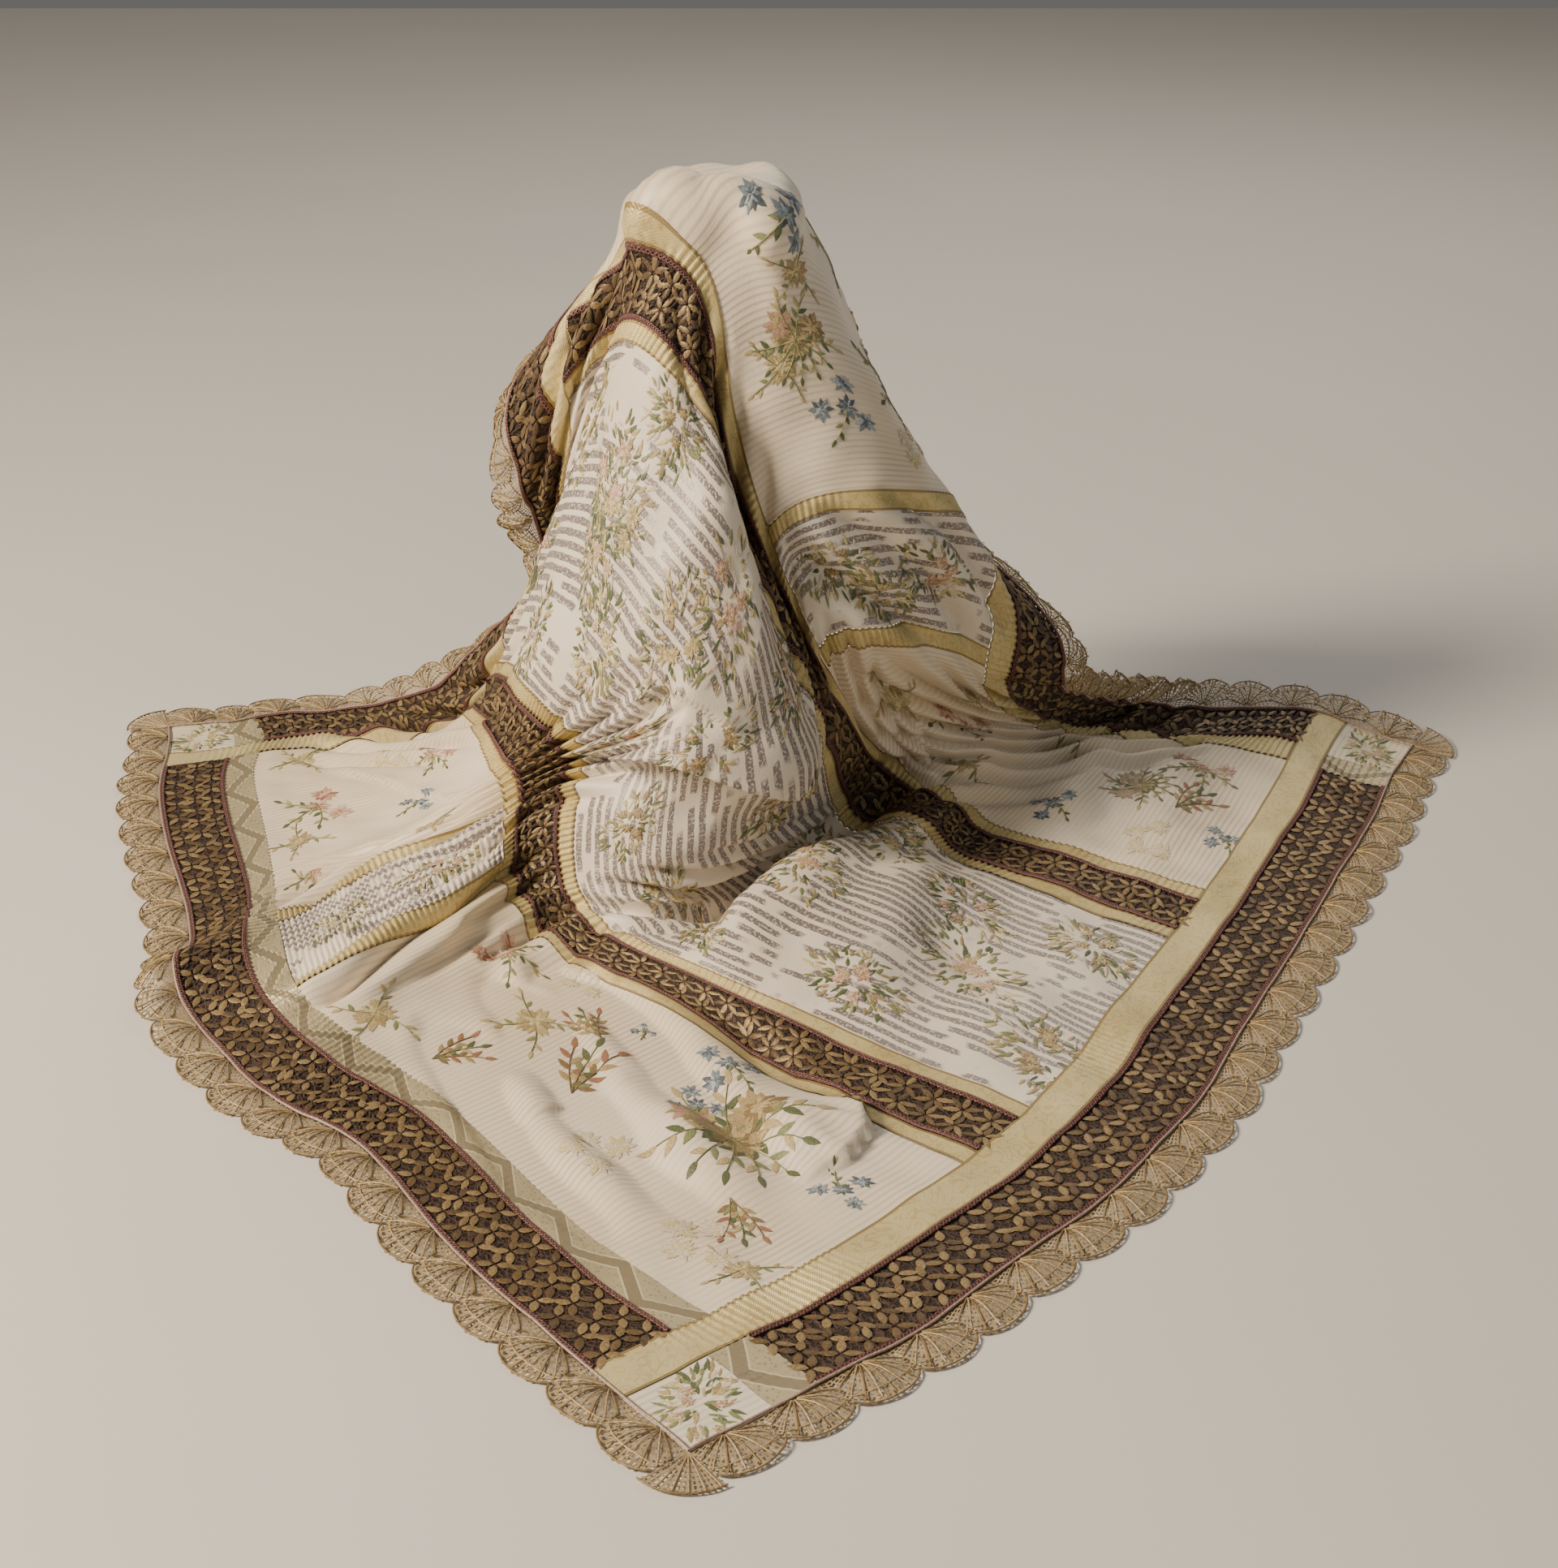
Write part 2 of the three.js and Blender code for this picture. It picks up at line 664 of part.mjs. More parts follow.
// Every rectangular piece. Each row: name, material, u from and to, v from and to.
const PIECES = [
  ["centre_panel", "striped", uCentre, uInnerRight, vFront, vBack],
  ["left_cream_front", "cream", uLeft, uStripLeft, vFront, bandFront],
  ["left_band_galloon_front", "galloon", uLeft, uStripLeft, bandFront, BAND_START],
  ["left_band", "striped", uLeft, uStripLeft, BAND_START, BAND_END],
  ["left_band_galloon_back", "galloon", uLeft, uStripLeft, BAND_END, bandBack],
  ["left_cream_back", "cream", uLeft, uStripLeft, bandBack, vBack],
  ["right_cream_front", "cream", uRight, uGalloonRight, vFront, bandFront],
  ["right_band_galloon_front", "galloon", uRight, uGalloonRight, bandFront, BAND_START],
  ["right_band", "striped", uRight, uGalloonRight, BAND_START, BAND_END],
  ["right_band_galloon_back", "galloon", uRight, uGalloonRight, BAND_END, bandBack],
  ["right_cream_back", "cream", uRight, uGalloonRight, bandBack, vBack],
  ["inner_galloon_left_outer", "galloon", uStripLeft, uLaceLeft, vFront, vBack],
  ["inner_lace_left", "lace", uLaceLeft, uInnerLeft, vFront, vBack],
  ["inner_galloon_left_inner", "galloon", uInnerLeft, uCentre, vFront, vBack],
  ["inner_galloon_right_inner", "galloon", uInnerRight, uLaceRight, vFront, vBack],
  ["inner_lace_right", "lace", uLaceRight, uStripRight, vFront, vBack],
  ["inner_galloon_right_outer", "galloon", uStripRight, uRight, vFront, vBack],
  ["front_galloon", "galloon", 0, CLOTH_WIDTH, LACE, vFront],
  ["back_galloon", "galloon", 0, CLOTH_WIDTH, vBack, CLOTH_LENGTH - LACE],
  ["left_galloon", "grey", uGalloon, uLeft, vFront, vBack],
  ["right_galloon", "galloon", uGalloonRight, uLaceOuter, vFront, vBack],
  ["left_lace", "lace", 0, uGalloon, vFront, vBack],
  ["right_lace", "lace", uLaceOuter, CLOTH_WIDTH, vFront, vBack],
  ["front_lace", "lace", uLeft, uGalloonRight, 0, LACE],
  ["back_lace", "lace", uLeft, uGalloonRight, CLOTH_LENGTH - LACE, CLOTH_LENGTH],
];

// Corner patches with a short grey galloon beside each.
for (const [end, v0] of [["front", 0], ["back", CLOTH_LENGTH - LACE]]) {
  PIECES.push([`${end}_left_patch`, "patch", 0, uGalloon, v0, v0 + LACE]);
  PIECES.push([`${end}_left_grey_galloon`, "grey", uGalloon, uLeft, v0, v0 + LACE]);
  PIECES.push([`${end}_right_grey_galloon`, "grey", uGalloonRight, uLaceOuter, v0, v0 + LACE]);
  PIECES.push([`${end}_right_patch`, "patch", uLaceOuter, CLOTH_WIDTH, v0, v0 + LACE]);
}

// The four lengths of fan edging. Each row: name, length, corners, place on the flat cloth.
const EDGINGS = [
  ["front_edging", CLOTH_WIDTH, true, (d, out, along, off) => [d, -out, along, -off]],
  ["back_edging", CLOTH_WIDTH, true, (d, out, along, off) => [d, CLOTH_LENGTH + out, along, off]],
  ["left_edging", CLOTH_LENGTH, false, (d, out, along, off) => [-out, d, -off, along]],
  ["right_edging", CLOTH_LENGTH, false, (d, out, along, off) => [CLOTH_WIDTH + out, d, off, along]],
];

const part = new THREE.Group();
function addPiece(name, solid, material) {
  solid.computeVertexNormals();
  const mesh = new THREE.Mesh(solid, materials[material]);
  mesh.name = name;
  part.add(mesh);
}
for (const [name, material, u0, u1, v0, v1] of PIECES) addPiece(name, panelSolid(u0, u1, v0, v1), material);
for (const [name, length, corners, toFlat] of EDGINGS) addPiece(name, edgingSolid(length, corners, toFlat), "fans");
addPiece("display_post", postSolid(), "wood");

// The middle of the base of the whole part becomes the origin.
const box = new THREE.Box3().setFromObject(part);
const middle = box.getCenter(new THREE.Vector3());
for (const mesh of part.children) mesh.geometry.translate(-middle.x, -middle.y, -box.min.z);

export default part;
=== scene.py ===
"""Looks of an altar cloth of pieced silk brocade, lace and galloon, draped over a square post."""

from functools import partial

import bpy
import numpy as np
from mathutils import Matrix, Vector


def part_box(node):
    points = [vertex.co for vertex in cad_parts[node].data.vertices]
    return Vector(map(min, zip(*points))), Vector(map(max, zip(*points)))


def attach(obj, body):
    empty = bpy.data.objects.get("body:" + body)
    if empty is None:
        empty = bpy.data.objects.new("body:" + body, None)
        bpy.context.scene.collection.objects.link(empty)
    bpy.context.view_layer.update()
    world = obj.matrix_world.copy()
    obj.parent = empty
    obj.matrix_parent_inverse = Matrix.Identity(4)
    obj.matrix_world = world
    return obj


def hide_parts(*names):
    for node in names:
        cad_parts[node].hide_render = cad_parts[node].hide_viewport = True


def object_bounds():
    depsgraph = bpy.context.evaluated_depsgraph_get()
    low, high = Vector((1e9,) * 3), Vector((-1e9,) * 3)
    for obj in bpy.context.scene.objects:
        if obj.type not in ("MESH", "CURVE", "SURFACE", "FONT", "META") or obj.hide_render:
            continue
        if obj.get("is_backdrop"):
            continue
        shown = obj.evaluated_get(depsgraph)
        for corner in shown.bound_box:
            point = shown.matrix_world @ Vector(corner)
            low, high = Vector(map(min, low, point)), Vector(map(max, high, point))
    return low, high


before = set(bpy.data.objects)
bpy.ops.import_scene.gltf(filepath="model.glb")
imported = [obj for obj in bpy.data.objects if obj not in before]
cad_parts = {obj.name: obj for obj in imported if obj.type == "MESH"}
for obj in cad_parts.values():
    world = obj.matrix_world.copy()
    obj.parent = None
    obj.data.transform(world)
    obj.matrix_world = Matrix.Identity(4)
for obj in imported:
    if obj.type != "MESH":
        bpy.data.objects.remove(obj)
frame_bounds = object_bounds()

# Flat cloth in millimetres: u along the front right side, v along the front left side.
WIDTH, LENGTH = 828, 900
LACE, GALLOON, CREAM, NARROW, INNER_LACE = 45, 24, 182, 12, 38
BAND_GALLOON, BAND_START, BAND_END = 15, 460, 540
SCALLOP, FAN_TIP, FAN_DIP = 36, 26, 17

# Grid that the drape is worked out on, and the room it keeps round the post.
CELL, EDGE, STEPS_U, STEPS_V, FLOOR = 18, 27, 49, 53, 1.0
CLEAR_X, CLEAR_Y, CLEAR_TOP = 35, 38, 389
SPLINE_SOFT, SPLINE_EASE, RELAX_ROUNDS, RELAX_PASSES = 20, 6, 60, 6
SMOOTHING, SWELL, SHEAR = 0.35, 1.04, 0.25
FINAL_ROUNDS, HOLD, EDGE_KEEP = 3, 0.06, 0.5

# Where the main folds lie: u and v on the flat cloth, place x, y, z from the post's foot, and pull.
FOLDS = {
    "front right edge": (
        (0, 0, -9, -551, 1, 1), (130, 0, 94, -471, 1, 1), (263, 0, 186, -376, 1, 1),
        (382, 0, 247, -274, 1, 1), (572, 0, 322, -99, 1, 1), (695, 0, 374, 13, 1, 1),
        (828, 0, 424, 131, 1, 1),
    ),
    "front left edge": (
        (0, 83, -60, -486, 1, 1), (0, 184, -122, -406, 1, 1), (0, 278, -168, -324, 1, 1),
        (0, 378, -227, -276, 1, 1), (0, 480, -285, -190, 1, 1), (0, 524, -292, -168, 24, 1),
        (0, 566, -286, -146, 2, 1), (0, 620, -297, -97, 1, 1), (0, 726, -331, 3, 1, 1),
        (0, 808, -350, 83, 1, 1), (0, 900, -360, 165, 2, 1),
    ),
    "post top": (
        (572, 751, -33, -36, 389, 1), (625, 711, 33, -36, 389, 1), (668, 769, 33, 36, 389, 1),
        (615, 809, -33, 36, 389, 1), (620, 760, 0, 0, 389, 1),
    ),
    "left strip": (
        (282, 69, 135, -310, 2, 1), (282, 152, 68, -269, 5, 1), (282, 208, 28, -235, 8, 1),
        (282, 289, -27, -180, 10, 1), (282, 356, -76, -140, 12, 1), (282, 412, -102, -96, 16, 1),
        (282, 490, -111, -68, 62, 0.7), (282, 700, -114, -30, 84, 1), (282, 831, -152, 81, 45, 1),
    ),
    "right strip": (
        (546, 69, 254, -93, 2, 1), (546, 160, 185, -41, 8, 1), (546, 231, 133, -27, 14, 1),
        (546, 285, 110, -43, 50, 1), (546, 340, 90, 28, 16, 1), (546, 420, 66, -50, 86, 1),
        (546, 500, 39, -50, 149, 1), (577, 452, 48, -52, 147, 1), (575, 515, 26, -50, 196, 1),
        (546, 600, -14, -42, 215, 1), (546, 650, -18, -42, 275, 1), (571, 690, -4, -46, 333, 1),
        (546, 715, -20, -46, 337, 1), (546, 800, -75, -14, 326, 1), (546, 836, -99, -5, 290, 1),
        (560, 802, -68, 4, 354, 1),
    ),
    "back flap": (
        (560, 843, -109, 4, 292, 0.8), (508, 843, -87, -12, 252, 1), (560, 900, -145, 35, 234, 1),
        (510, 900, -119, 40, 197, 1), (460, 843, -98, 23, 209, 1), (460, 900, -114, 66, 163, 0.8),
        (380, 843, -112, 30, 140, 0.8), (380, 900, -112, 92, 110, 0.8),
    ),
    "billow edge": (
        (521, 665, -9, -54, 301, 1), (500, 630, 5, -70, 264, 1), (480, 585, 18, -86, 207, 1),
        (470, 550, 29, -96, 161, 1), (470, 488, 42, -96, 95, 1),
    ),
    "billow": (
        (519, 705, -41, -56, 334, 1), (414, 700, -67, -80, 239, 1), (330, 700, -100, -76, 141, 1),
        (414, 600, -14, -112, 183, 0.6), (370, 600, -23, -116, 125, 0.6),
        (440, 760, -99, -40, 211, 0.6),
    ),
    "centre front": (
        (414, 250, 39, -123, 45, 1), (340, 290, -18, -177, 30, 0.6), (414, 69, 190, -213, 2, 1),
        (414, 160, 119, -150, 8, 0.5), (414, 322, 20, -70, 4, 0.6), (414, 394, -20, -118, 40, 0.6),
        (414, 480, -20, -112, 76, 0.6), (330, 470, -68, -100, 70, 0.6),
    ),
    "left cream": (
        (160, 69, 46, -413, 2, 1), (160, 390, -145, -152, 4, 0.5), (110, 436, -196, -193, 24, 1),
        (200, 436, -144, -144, 32, 1), (90, 500, -221, -143, 14, 0.7), (240, 500, -127, -87, 44, 0.8),
        (170, 536, -192, -81, 30, 0.8), (170, 680, -204, 9, 12, 0.8), (250, 700, -136, -43, 55, 0.6),
        (160, 800, -232, 102, 8, 0.7), (257, 835, -165, 84, 30, 1), (160, 900, -238, 187, 7, 1),
        (60, 900, -317, 172, 2, 1), (60, 924, -326, 193, 1, 1), (160, 924, -246, 209, 3, 1),
    ),
    "right cream": (
        (668, 69, 307, 27, 3, 1), (668, 200, 208, 60, 14, 0.5), (640, 335, 112, 6, 68, 0.5),
        (640, 420, 86, -40, 125, 0.7), (640, 548, 67, -44, 228, 1), (640, 640, 45, -44, 324, 1),
        (700, 500, 113, -20, 185, 0.7), (690, 610, 112, 4, 237, 1), (725, 552, 120, 8, 221, 1),
        (745, 505, 151, 18, 165, 1), (676, 690, 65, -4, 319, 1),
    ),
    "right border": (
        (805, 75, 354, 144, 14, 1), (805, 235, 231, 139, 22, 1), (771, 500, 166, 30, 134, 1),
        (771, 440, 148, 25, 85, 0.6), (828, 480, 200, 45, 110, 1), (771, 610, 90, 80, 222, 1),
        (771, 690, 75, 75, 280, 1), (828, 610, 90, 112, 182, 1),
    ),
    "hidden back": (
        (828, 900, 10, 165, 190, 0.6), (700, 900, -60, 90, 285, 0.6), (828, 700, 80, 120, 245, 0.8),
    ),
}

# Tuck where cloth is gathered under the upper fold: u, v where it starts, depth.
TUCK = ((80, 560, 0), (160, 550, 40), (250, 520, 78), (282, 506, 94), (395, 512, 40), (480, 495, 0))
TUCK_LEFT = 0.3


def gathered(u, v):
    """How far along v the cloth reaches once the tuck is gathered."""
    at, start, depth = (np.array(column, float) for column in zip(*TUCK))
    start, depth = np.interp(u, at, start), np.interp(u, at, depth)
    inside = start + TUCK_LEFT * (v - start)
    return np.where(v <= start, v, np.where(v < start + 2 * depth, inside, v - 2 * depth * (1 - TUCK_LEFT)))


def smooth(place, amount):
    first = place.copy()
    first[1:-1] += ((place[:-2] + place[2:]) * 0.5 - place[1:-1]) * amount
    second = first.copy()
    second[:, 1:-1] += ((first[:, :-2] + first[:, 2:]) * 0.5 - first[:, 1:-1]) * amount
    return second


def tie(a, b, rest, stretch, squeeze):
    """Brings two sets of nodes back to their flat distance when stretched."""
    gap = b - a
    length = np.sqrt((gap * gap).sum(-1)) + 1e-9
    off = (length - rest) / length
    move = gap * (0.5 * np.where(off > 0, off * stretch, off * squeeze))[..., None]
    a += move
    b -= move


def clear_post(place):
    """Keeps the sheet outside the post and above the table."""
    x, y, z = place[..., 0], place[..., 1], place[..., 2]
    dx, dy, dz = CLEAR_X - abs(x), CLEAR_Y - abs(y), CLEAR_TOP - z
    inside = (dx > 0) & (dy > 0) & (dz > 0)
    by_x = inside & (dx <= dy) & (dx <= dz)
    by_y = inside & ~by_x & (dy <= dz)
    x[by_x] = np.where(x[by_x] < 0, -CLEAR_X, CLEAR_X)
    y[by_y] = np.where(y[by_y] < 0, -CLEAR_Y, CLEAR_Y)
    z[inside & ~by_x & ~by_y] = CLEAR_TOP
    np.maximum(z, FLOOR, out=z)


def draped_grid():
    """The drape on a grid of nodes: a spline through the folds, then relaxed so that it isn't stretched."""
    rows = np.array([row for fold in FOLDS.values() for row in fold], float)
    u, v, goal, pull = rows[:, 0], rows[:, 1], rows[:, 2:5], rows[:, 5]
    n = len(rows)
    flat = np.stack([u, gathered(u, v)], 1)
    soft = lambda a, b: np.sqrt(((a[..., None, :] - b) ** 2).sum(-1) + SPLINE_SOFT**2)
    matrix = np.zeros((n + 3, n + 3))
    matrix[:n, :n] = soft(flat, flat) - SPLINE_EASE * np.eye(n)
    matrix[:n, n:] = np.column_stack([np.ones(n), flat])
    matrix[n:, :n] = matrix[:n, n:].T
    weight = np.linalg.solve(matrix, np.vstack([goal, np.zeros((3, 3))]))
    lines_u, lines_v = (np.arange(steps + 1) * CELL - EDGE for steps in (STEPS_U, STEPS_V))
    gu, gv = np.meshgrid(lines_u, lines_v, indexing="ij")
    gv = gathered(gu, gv)
    at = np.stack([gu, gv], -1)
    place = soft(at, flat) @ weight[:n] + weight[n]
    place = place + gu[..., None] * weight[n + 1] + gv[..., None] * weight[n + 2]
    np.maximum(place[..., 2], FLOOR, out=place[..., 2])

    rest_v = np.maximum(gv[:, 1:] - gv[:, :-1], 0.5)
    keep_u = np.array([EDGE_KEEP if k < 3 or k >= STEPS_U - 3 else 0 for k in range(STEPS_U)])[:, None]
    keep_v = np.array([EDGE_KEEP if k < 3 or k >= STEPS_V - 3 else 0 for k in range(STEPS_V)])
    down = np.sqrt(CELL**2 + (gv[1:, 1:] - gv[:-1, :-1]) ** 2)
    up = np.sqrt(CELL**2 + (gv[1:, :-1] - gv[:-1, 1:]) ** 2)
    fu, fv = (u + EDGE) / CELL, (v + EDGE) / CELL
    i, j = np.minimum(fu.astype(int), STEPS_U - 1), np.minimum(fv.astype(int), STEPS_V - 1)
    a, b = fu - i, fv - j
    share = np.stack([(1 - a) * (1 - b), a * (1 - b), (1 - a) * b, a * b], 1)
    nodes = [(i, j), (i + 1, j), (i, j + 1), (i + 1, j + 1)]
    strength = (HOLD * pull / (share**2).sum(1))[:, None]
    for _ in range(RELAX_ROUNDS):
        place = smooth(smooth(place, SMOOTHING), -SMOOTHING * SWELL)
        for _ in range(RELAX_PASSES):
            for odd in (0, 1):
                tie(place[odd:-1:2], place[odd + 1 :: 2], CELL, 1, keep_u[odd::2])
                tie(place[:, odd:-1:2], place[:, odd + 1 :: 2], rest_v[:, odd::2], 1, keep_v[odd::2])
            for odd in (0, 1):
                tie(place[odd:-1:2, :-1], place[odd + 1 :: 2, 1:], down[odd::2], SHEAR, 0)
                tie(place[odd:-1:2, 1:], place[odd + 1 :: 2, :-1], up[odd::2], SHEAR, 0)
            now = sum(share[:, k, None] * place[at] for k, at in enumerate(nodes))
            move = (goal - now) * strength
            for k, at in enumerate(nodes):
                np.add.at(place, at, move * share[:, k, None])
            clear_post(place)
    for _ in range(FINAL_ROUNDS):
        place = smooth(place, SMOOTHING)
        clear_post(place)
    return place


def rimmed(grid):
    """The grid with one more ring of nodes, running straight on past the rim."""
    grid = np.concatenate([2 * grid[:1] - grid[1:2], grid, 2 * grid[-1:] - grid[-2:-1]])
    return np.concatenate([2 * grid[:, :1] - grid[:, 1:2], grid, 2 * grid[:, -1:] - grid[:, -2:-1]], 1)


def cubic(t):
    return np.stack(
        [
            ((-0.5 * t + 1) * t - 0.5) * t,
            (1.5 * t - 2.5) * t * t + 1,
            ((-1.5 * t + 2) * t + 0.5) * t,
            (0.5 * t - 0.5) * t * t,
        ],
        -1,
    )


def middle(u, v):
    """Smooth place of points of the flat cloth, in millimetres."""
    fu = np.clip((u + EDGE) / CELL, 0, STEPS_U)
    fv = np.clip((v + EDGE) / CELL, 0, STEPS_V)
    i, j = np.minimum(fu.astype(int), STEPS_U - 1), np.minimum(fv.astype(int), STEPS_V - 1)
    su, sv = cubic(fu - i), cubic(fv - j)
    out = np.zeros(np.shape(u) + (3,))
    for r in range(4):
        for c in range(4):
            out += (su[..., r] * sv[..., c])[..., None] * GRID[i + r, j + c]
    return out


GRID = rimmed(draped_grid())

# Softer creases: start u, v, end u, v, height (down if negative), half width.
CREASES = (
    (90, 200, 235, 150, 5, 26),
    (100, 300, 240, 330, -5, 24),
    (110, 120, 240, 250, 4, 22),
    (330, 120, 500, 100, 4, 24),
    (330, 180, 500, 215, 6, 24),
    (600, 110, 740, 150, 7, 26),
    (600, 190, 745, 205, 9, 24),
    (600, 260, 700, 330, 8, 22),
    (360, 640, 505, 620, 6, 20),
    (350, 690, 470, 740, -6, 20),
    (600, 470, 740, 420, 6, 22),
    (335, 270, 565, 262, 12, 22),
    (350, 335, 575, 335, -11, 20),
    (559, 761, 638, 701, 9, 15),
    (615, 698, 678, 782, 3, 15),
    (681, 759, 602, 819, 3, 15),
    (625, 822, 562, 738, 12, 15),
    (335, 570, 505, 450, 6, 18),
    (320, 525, 490, 410, -6, 16),
    (190, 134, 258, 152, 7, 20),
)

# Sharp lips where one fold hangs over the next: start u, v, end u, v, height, width.
LIPS = (
    (300, 596, 340, 532, 9, 16),
    (340, 532, 403, 500, 12, 16),
    (403, 500, 496, 436, 12, 16),
    (325, 640, 388, 602, 4, 20),
    (388, 602, 432, 522, 4, 20),
    (190, 116, 214, 111, 5, 20),
    (214, 111, 241, 118, 8, 20),
    (241, 118, 259, 137, 8, 18),
    (100, 250, 172, 238, 4, 18),
    (133, 772, 217, 672, 4, 18),
)

# Long soft wrinkles all over the silk: wavelength, direction across u and v, height.
WRINKLES = ((61, 0.8, 0.6, 0.5), (47, -0.55, 0.83, 0.4), (33, 0.97, -0.26, 0.22), (23, 0.2, 0.98, 0.14))

# Gathers of spare cloth: u, v, half length along u and v, direction in degrees, wavelength.
GATHERS = (
    (690, 320, 165, 140, 46, 30),
    (805, 300, 70, 160, 56, 30),
    (270, 575, 130, 115, 88, 30),
    (545, 560, 50, 170, 150, 26),
    (235, 815, 140, 85, 52, 30),
    (470, 830, 140, 75, 52, 28),
    (800, 770, 100, 110, 92, 30),
    (130, 590, 110, 60, 100, 30),
    (400, 365, 120, 60, 58, 30),
    (170, 440, 130, 50, 96, 44),
    (680, 500, 110, 60, 50, 40),
    (160, 240, 130, 140, 168, 64),
    (250, 380, 70, 70, 100, 36),
    (606, 370, 45, 110, 174, 22),
    (740, 200, 60, 80, 40, 30),
)

# Millimetres either way over which the sheet's tilt and its squeeze are measured.
TILT_REACH, SQUEEZE_REACH = 4, 6


def length_left(u, v, du, dv):
    """Share of the cloth's length that the drape leaves in one direction."""
    du, dv = SQUEEZE_REACH * du, SQUEEZE_REACH * dv
    return np.linalg.norm(middle(u + du, v + dv) - middle(u - du, v - dv), axis=-1) / (2 * SQUEEZE_REACH)


def crease_height(u, v):
    """Soft ridges and troughs, which the solids have too."""
    height = np.zeros(np.shape(u))
    for u0, v0, u1, v1, rise, half in CREASES:
        du, dv = u1 - u0, v1 - v0
        near = np.clip(((u - u0) * du + (v - v0) * dv) / (du * du + dv * dv), 0, 1)
        away = np.hypot(u - u0 - near * du, v - v0 - near * dv) / half
        fade = np.minimum(1, np.minimum(4 * near, 4 * (1 - near)) + 0.25)
        height += rise * fade * np.exp(-away * away)
    return height


def fine_height(u, v):
    """Sharp lips and long soft wrinkles, which only the thin sheets show."""
    height = np.zeros(np.shape(u))
    for u0, v0, u1, v1, rise, width in LIPS:
        du, dv = u1 - u0, v1 - v0
        length = np.hypot(du, dv)
        along = ((u - u0) * du + (v - v0) * dv) / length**2
        across = ((u - u0) * dv - (v - v0) * du) / length
        ends = np.clip(np.minimum(along, 1 - along) * 3 + 0.5, 0, 1)
        lip = np.where(across < 0, np.exp(across / width), np.clip(1 - across / 2.5, 0, 1))
        height += rise * ends * lip
    for wavelength, cu, cv, rise in WRINKLES:
        bend = 14 * np.sin(u / 53 + v / 71)
        height += rise * np.sin((u * cu + v * cv + bend) * 2 * np.pi / wavelength)
    return height


def gather_height(u, v):
    """Pleats that take up the length which the drape has squeezed out, in the direction it is squeezed."""
    height = np.zeros(np.shape(u))
    for cu, cv, half_u, half_v, degrees, wavelength in GATHERS:
        mask = np.clip(3 - 3 * np.hypot((u - cu) / half_u, (v - cv) / half_v), 0, 1)
        du, dv = np.cos(np.radians(degrees)), np.sin(np.radians(degrees))
        left = length_left(u, v, du, dv)
        steep = np.minimum(2.2 * np.sqrt(np.maximum(1 / np.maximum(left, 0.05) - 1, 0)), 6.0)
        phase = (u * du + v * dv + 5 * np.sin((v * du - u * dv) / 31)) * 2 * np.pi / wavelength
        pleat = 2 * np.abs(np.cos(phase / 2)) - 1.6
        height += mask * np.minimum(left, 1) * wavelength / (2 * np.pi) * steep * pleat
    return height


low, high = (np.array(corner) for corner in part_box("display_post"))
SHIFT = np.array([(low[0] + high[0]) / 2, (low[1] + high[1]) / 2, 0])


def surface(u, v, lift=0.0):
    """Places in metres of points of the flat cloth, lifted off its middle by millimetres."""
    u, v = np.asarray(u, float), np.asarray(v, float)
    along_u = middle(u + TILT_REACH, v) - middle(u - TILT_REACH, v)
    along_v = middle(u, v + TILT_REACH) - middle(u, v - TILT_REACH)
    normal = np.cross(along_u, along_v)
    normal /= np.linalg.norm(normal, axis=-1, keepdims=True) + 1e-9
    rise = crease_height(u, v) + fine_height(u, v) + gather_height(u, v)
    place = middle(u, v) + normal * rise[..., None]
    place[..., 2] = np.maximum(place[..., 2], FLOOR)
    place += normal * np.asarray(lift, float)[..., None]
    return place / 1000 + SHIFT


def linear(code):
    """Linear colour of an sRGB hex code."""
    parts = [int(code[k : k + 2], 16) / 255 for k in (1, 3, 5)]
    return [p / 12.92 if p <= 0.04045 else ((p + 0.055) / 1.055) ** 2.4 for p in parts] + [1.0]


def make_object(name, places, faces, flat, colours=None, material=None):
    """A joined mesh from places, faces as corner numbers, and flat cloth places as UVs in metres."""
    mesh = bpy.data.meshes.new(name)
    faces = np.asarray(faces, np.int32)
    corners = faces.shape[1]
    mesh.vertices.add(len(places))
    mesh.vertices.foreach_set("co", np.asarray(places, np.float32).ravel())
    mesh.loops.add(faces.size)
    mesh.loops.foreach_set("vertex_index", faces.ravel())
    mesh.polygons.add(len(faces))
    mesh.polygons.foreach_set("loop_start", np.arange(0, faces.size, corners, dtype=np.int32))
    mesh.polygons.foreach_set("use_smooth", np.ones(len(faces), bool))
    layer = mesh.uv_layers.new(name="flat")
    layer.data.foreach_set("uv", (np.asarray(flat, np.float32)[faces.ravel()]).ravel())
    if colours is not None:
        shade = mesh.color_attributes.new("thread", "FLOAT_COLOR", "POINT")
        shade.data.foreach_set("color", np.asarray(colours, np.float32).ravel())
    mesh.update()
    mesh.validate()
    piece = bpy.data.objects.new(name, mesh)
    bpy.context.scene.collection.objects.link(piece)
    if material:
        mesh.materials.append(material)
    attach(piece, "root")
    return piece


def grid_faces(rows, columns):
    at = np.arange(rows * columns).reshape(rows, columns)
    return np.stack([at[:-1, :-1], at[1:, :-1], at[1:, 1:], at[:-1, 1:]], -1).reshape(-1, 4)


# Millimetres between the points of a sheet, finer along a crimped one, and from crimp to crimp.
SHEET_PITCH, CRIMP_PITCH, CRIMP_LENGTH = 3.0, 1.25, 5


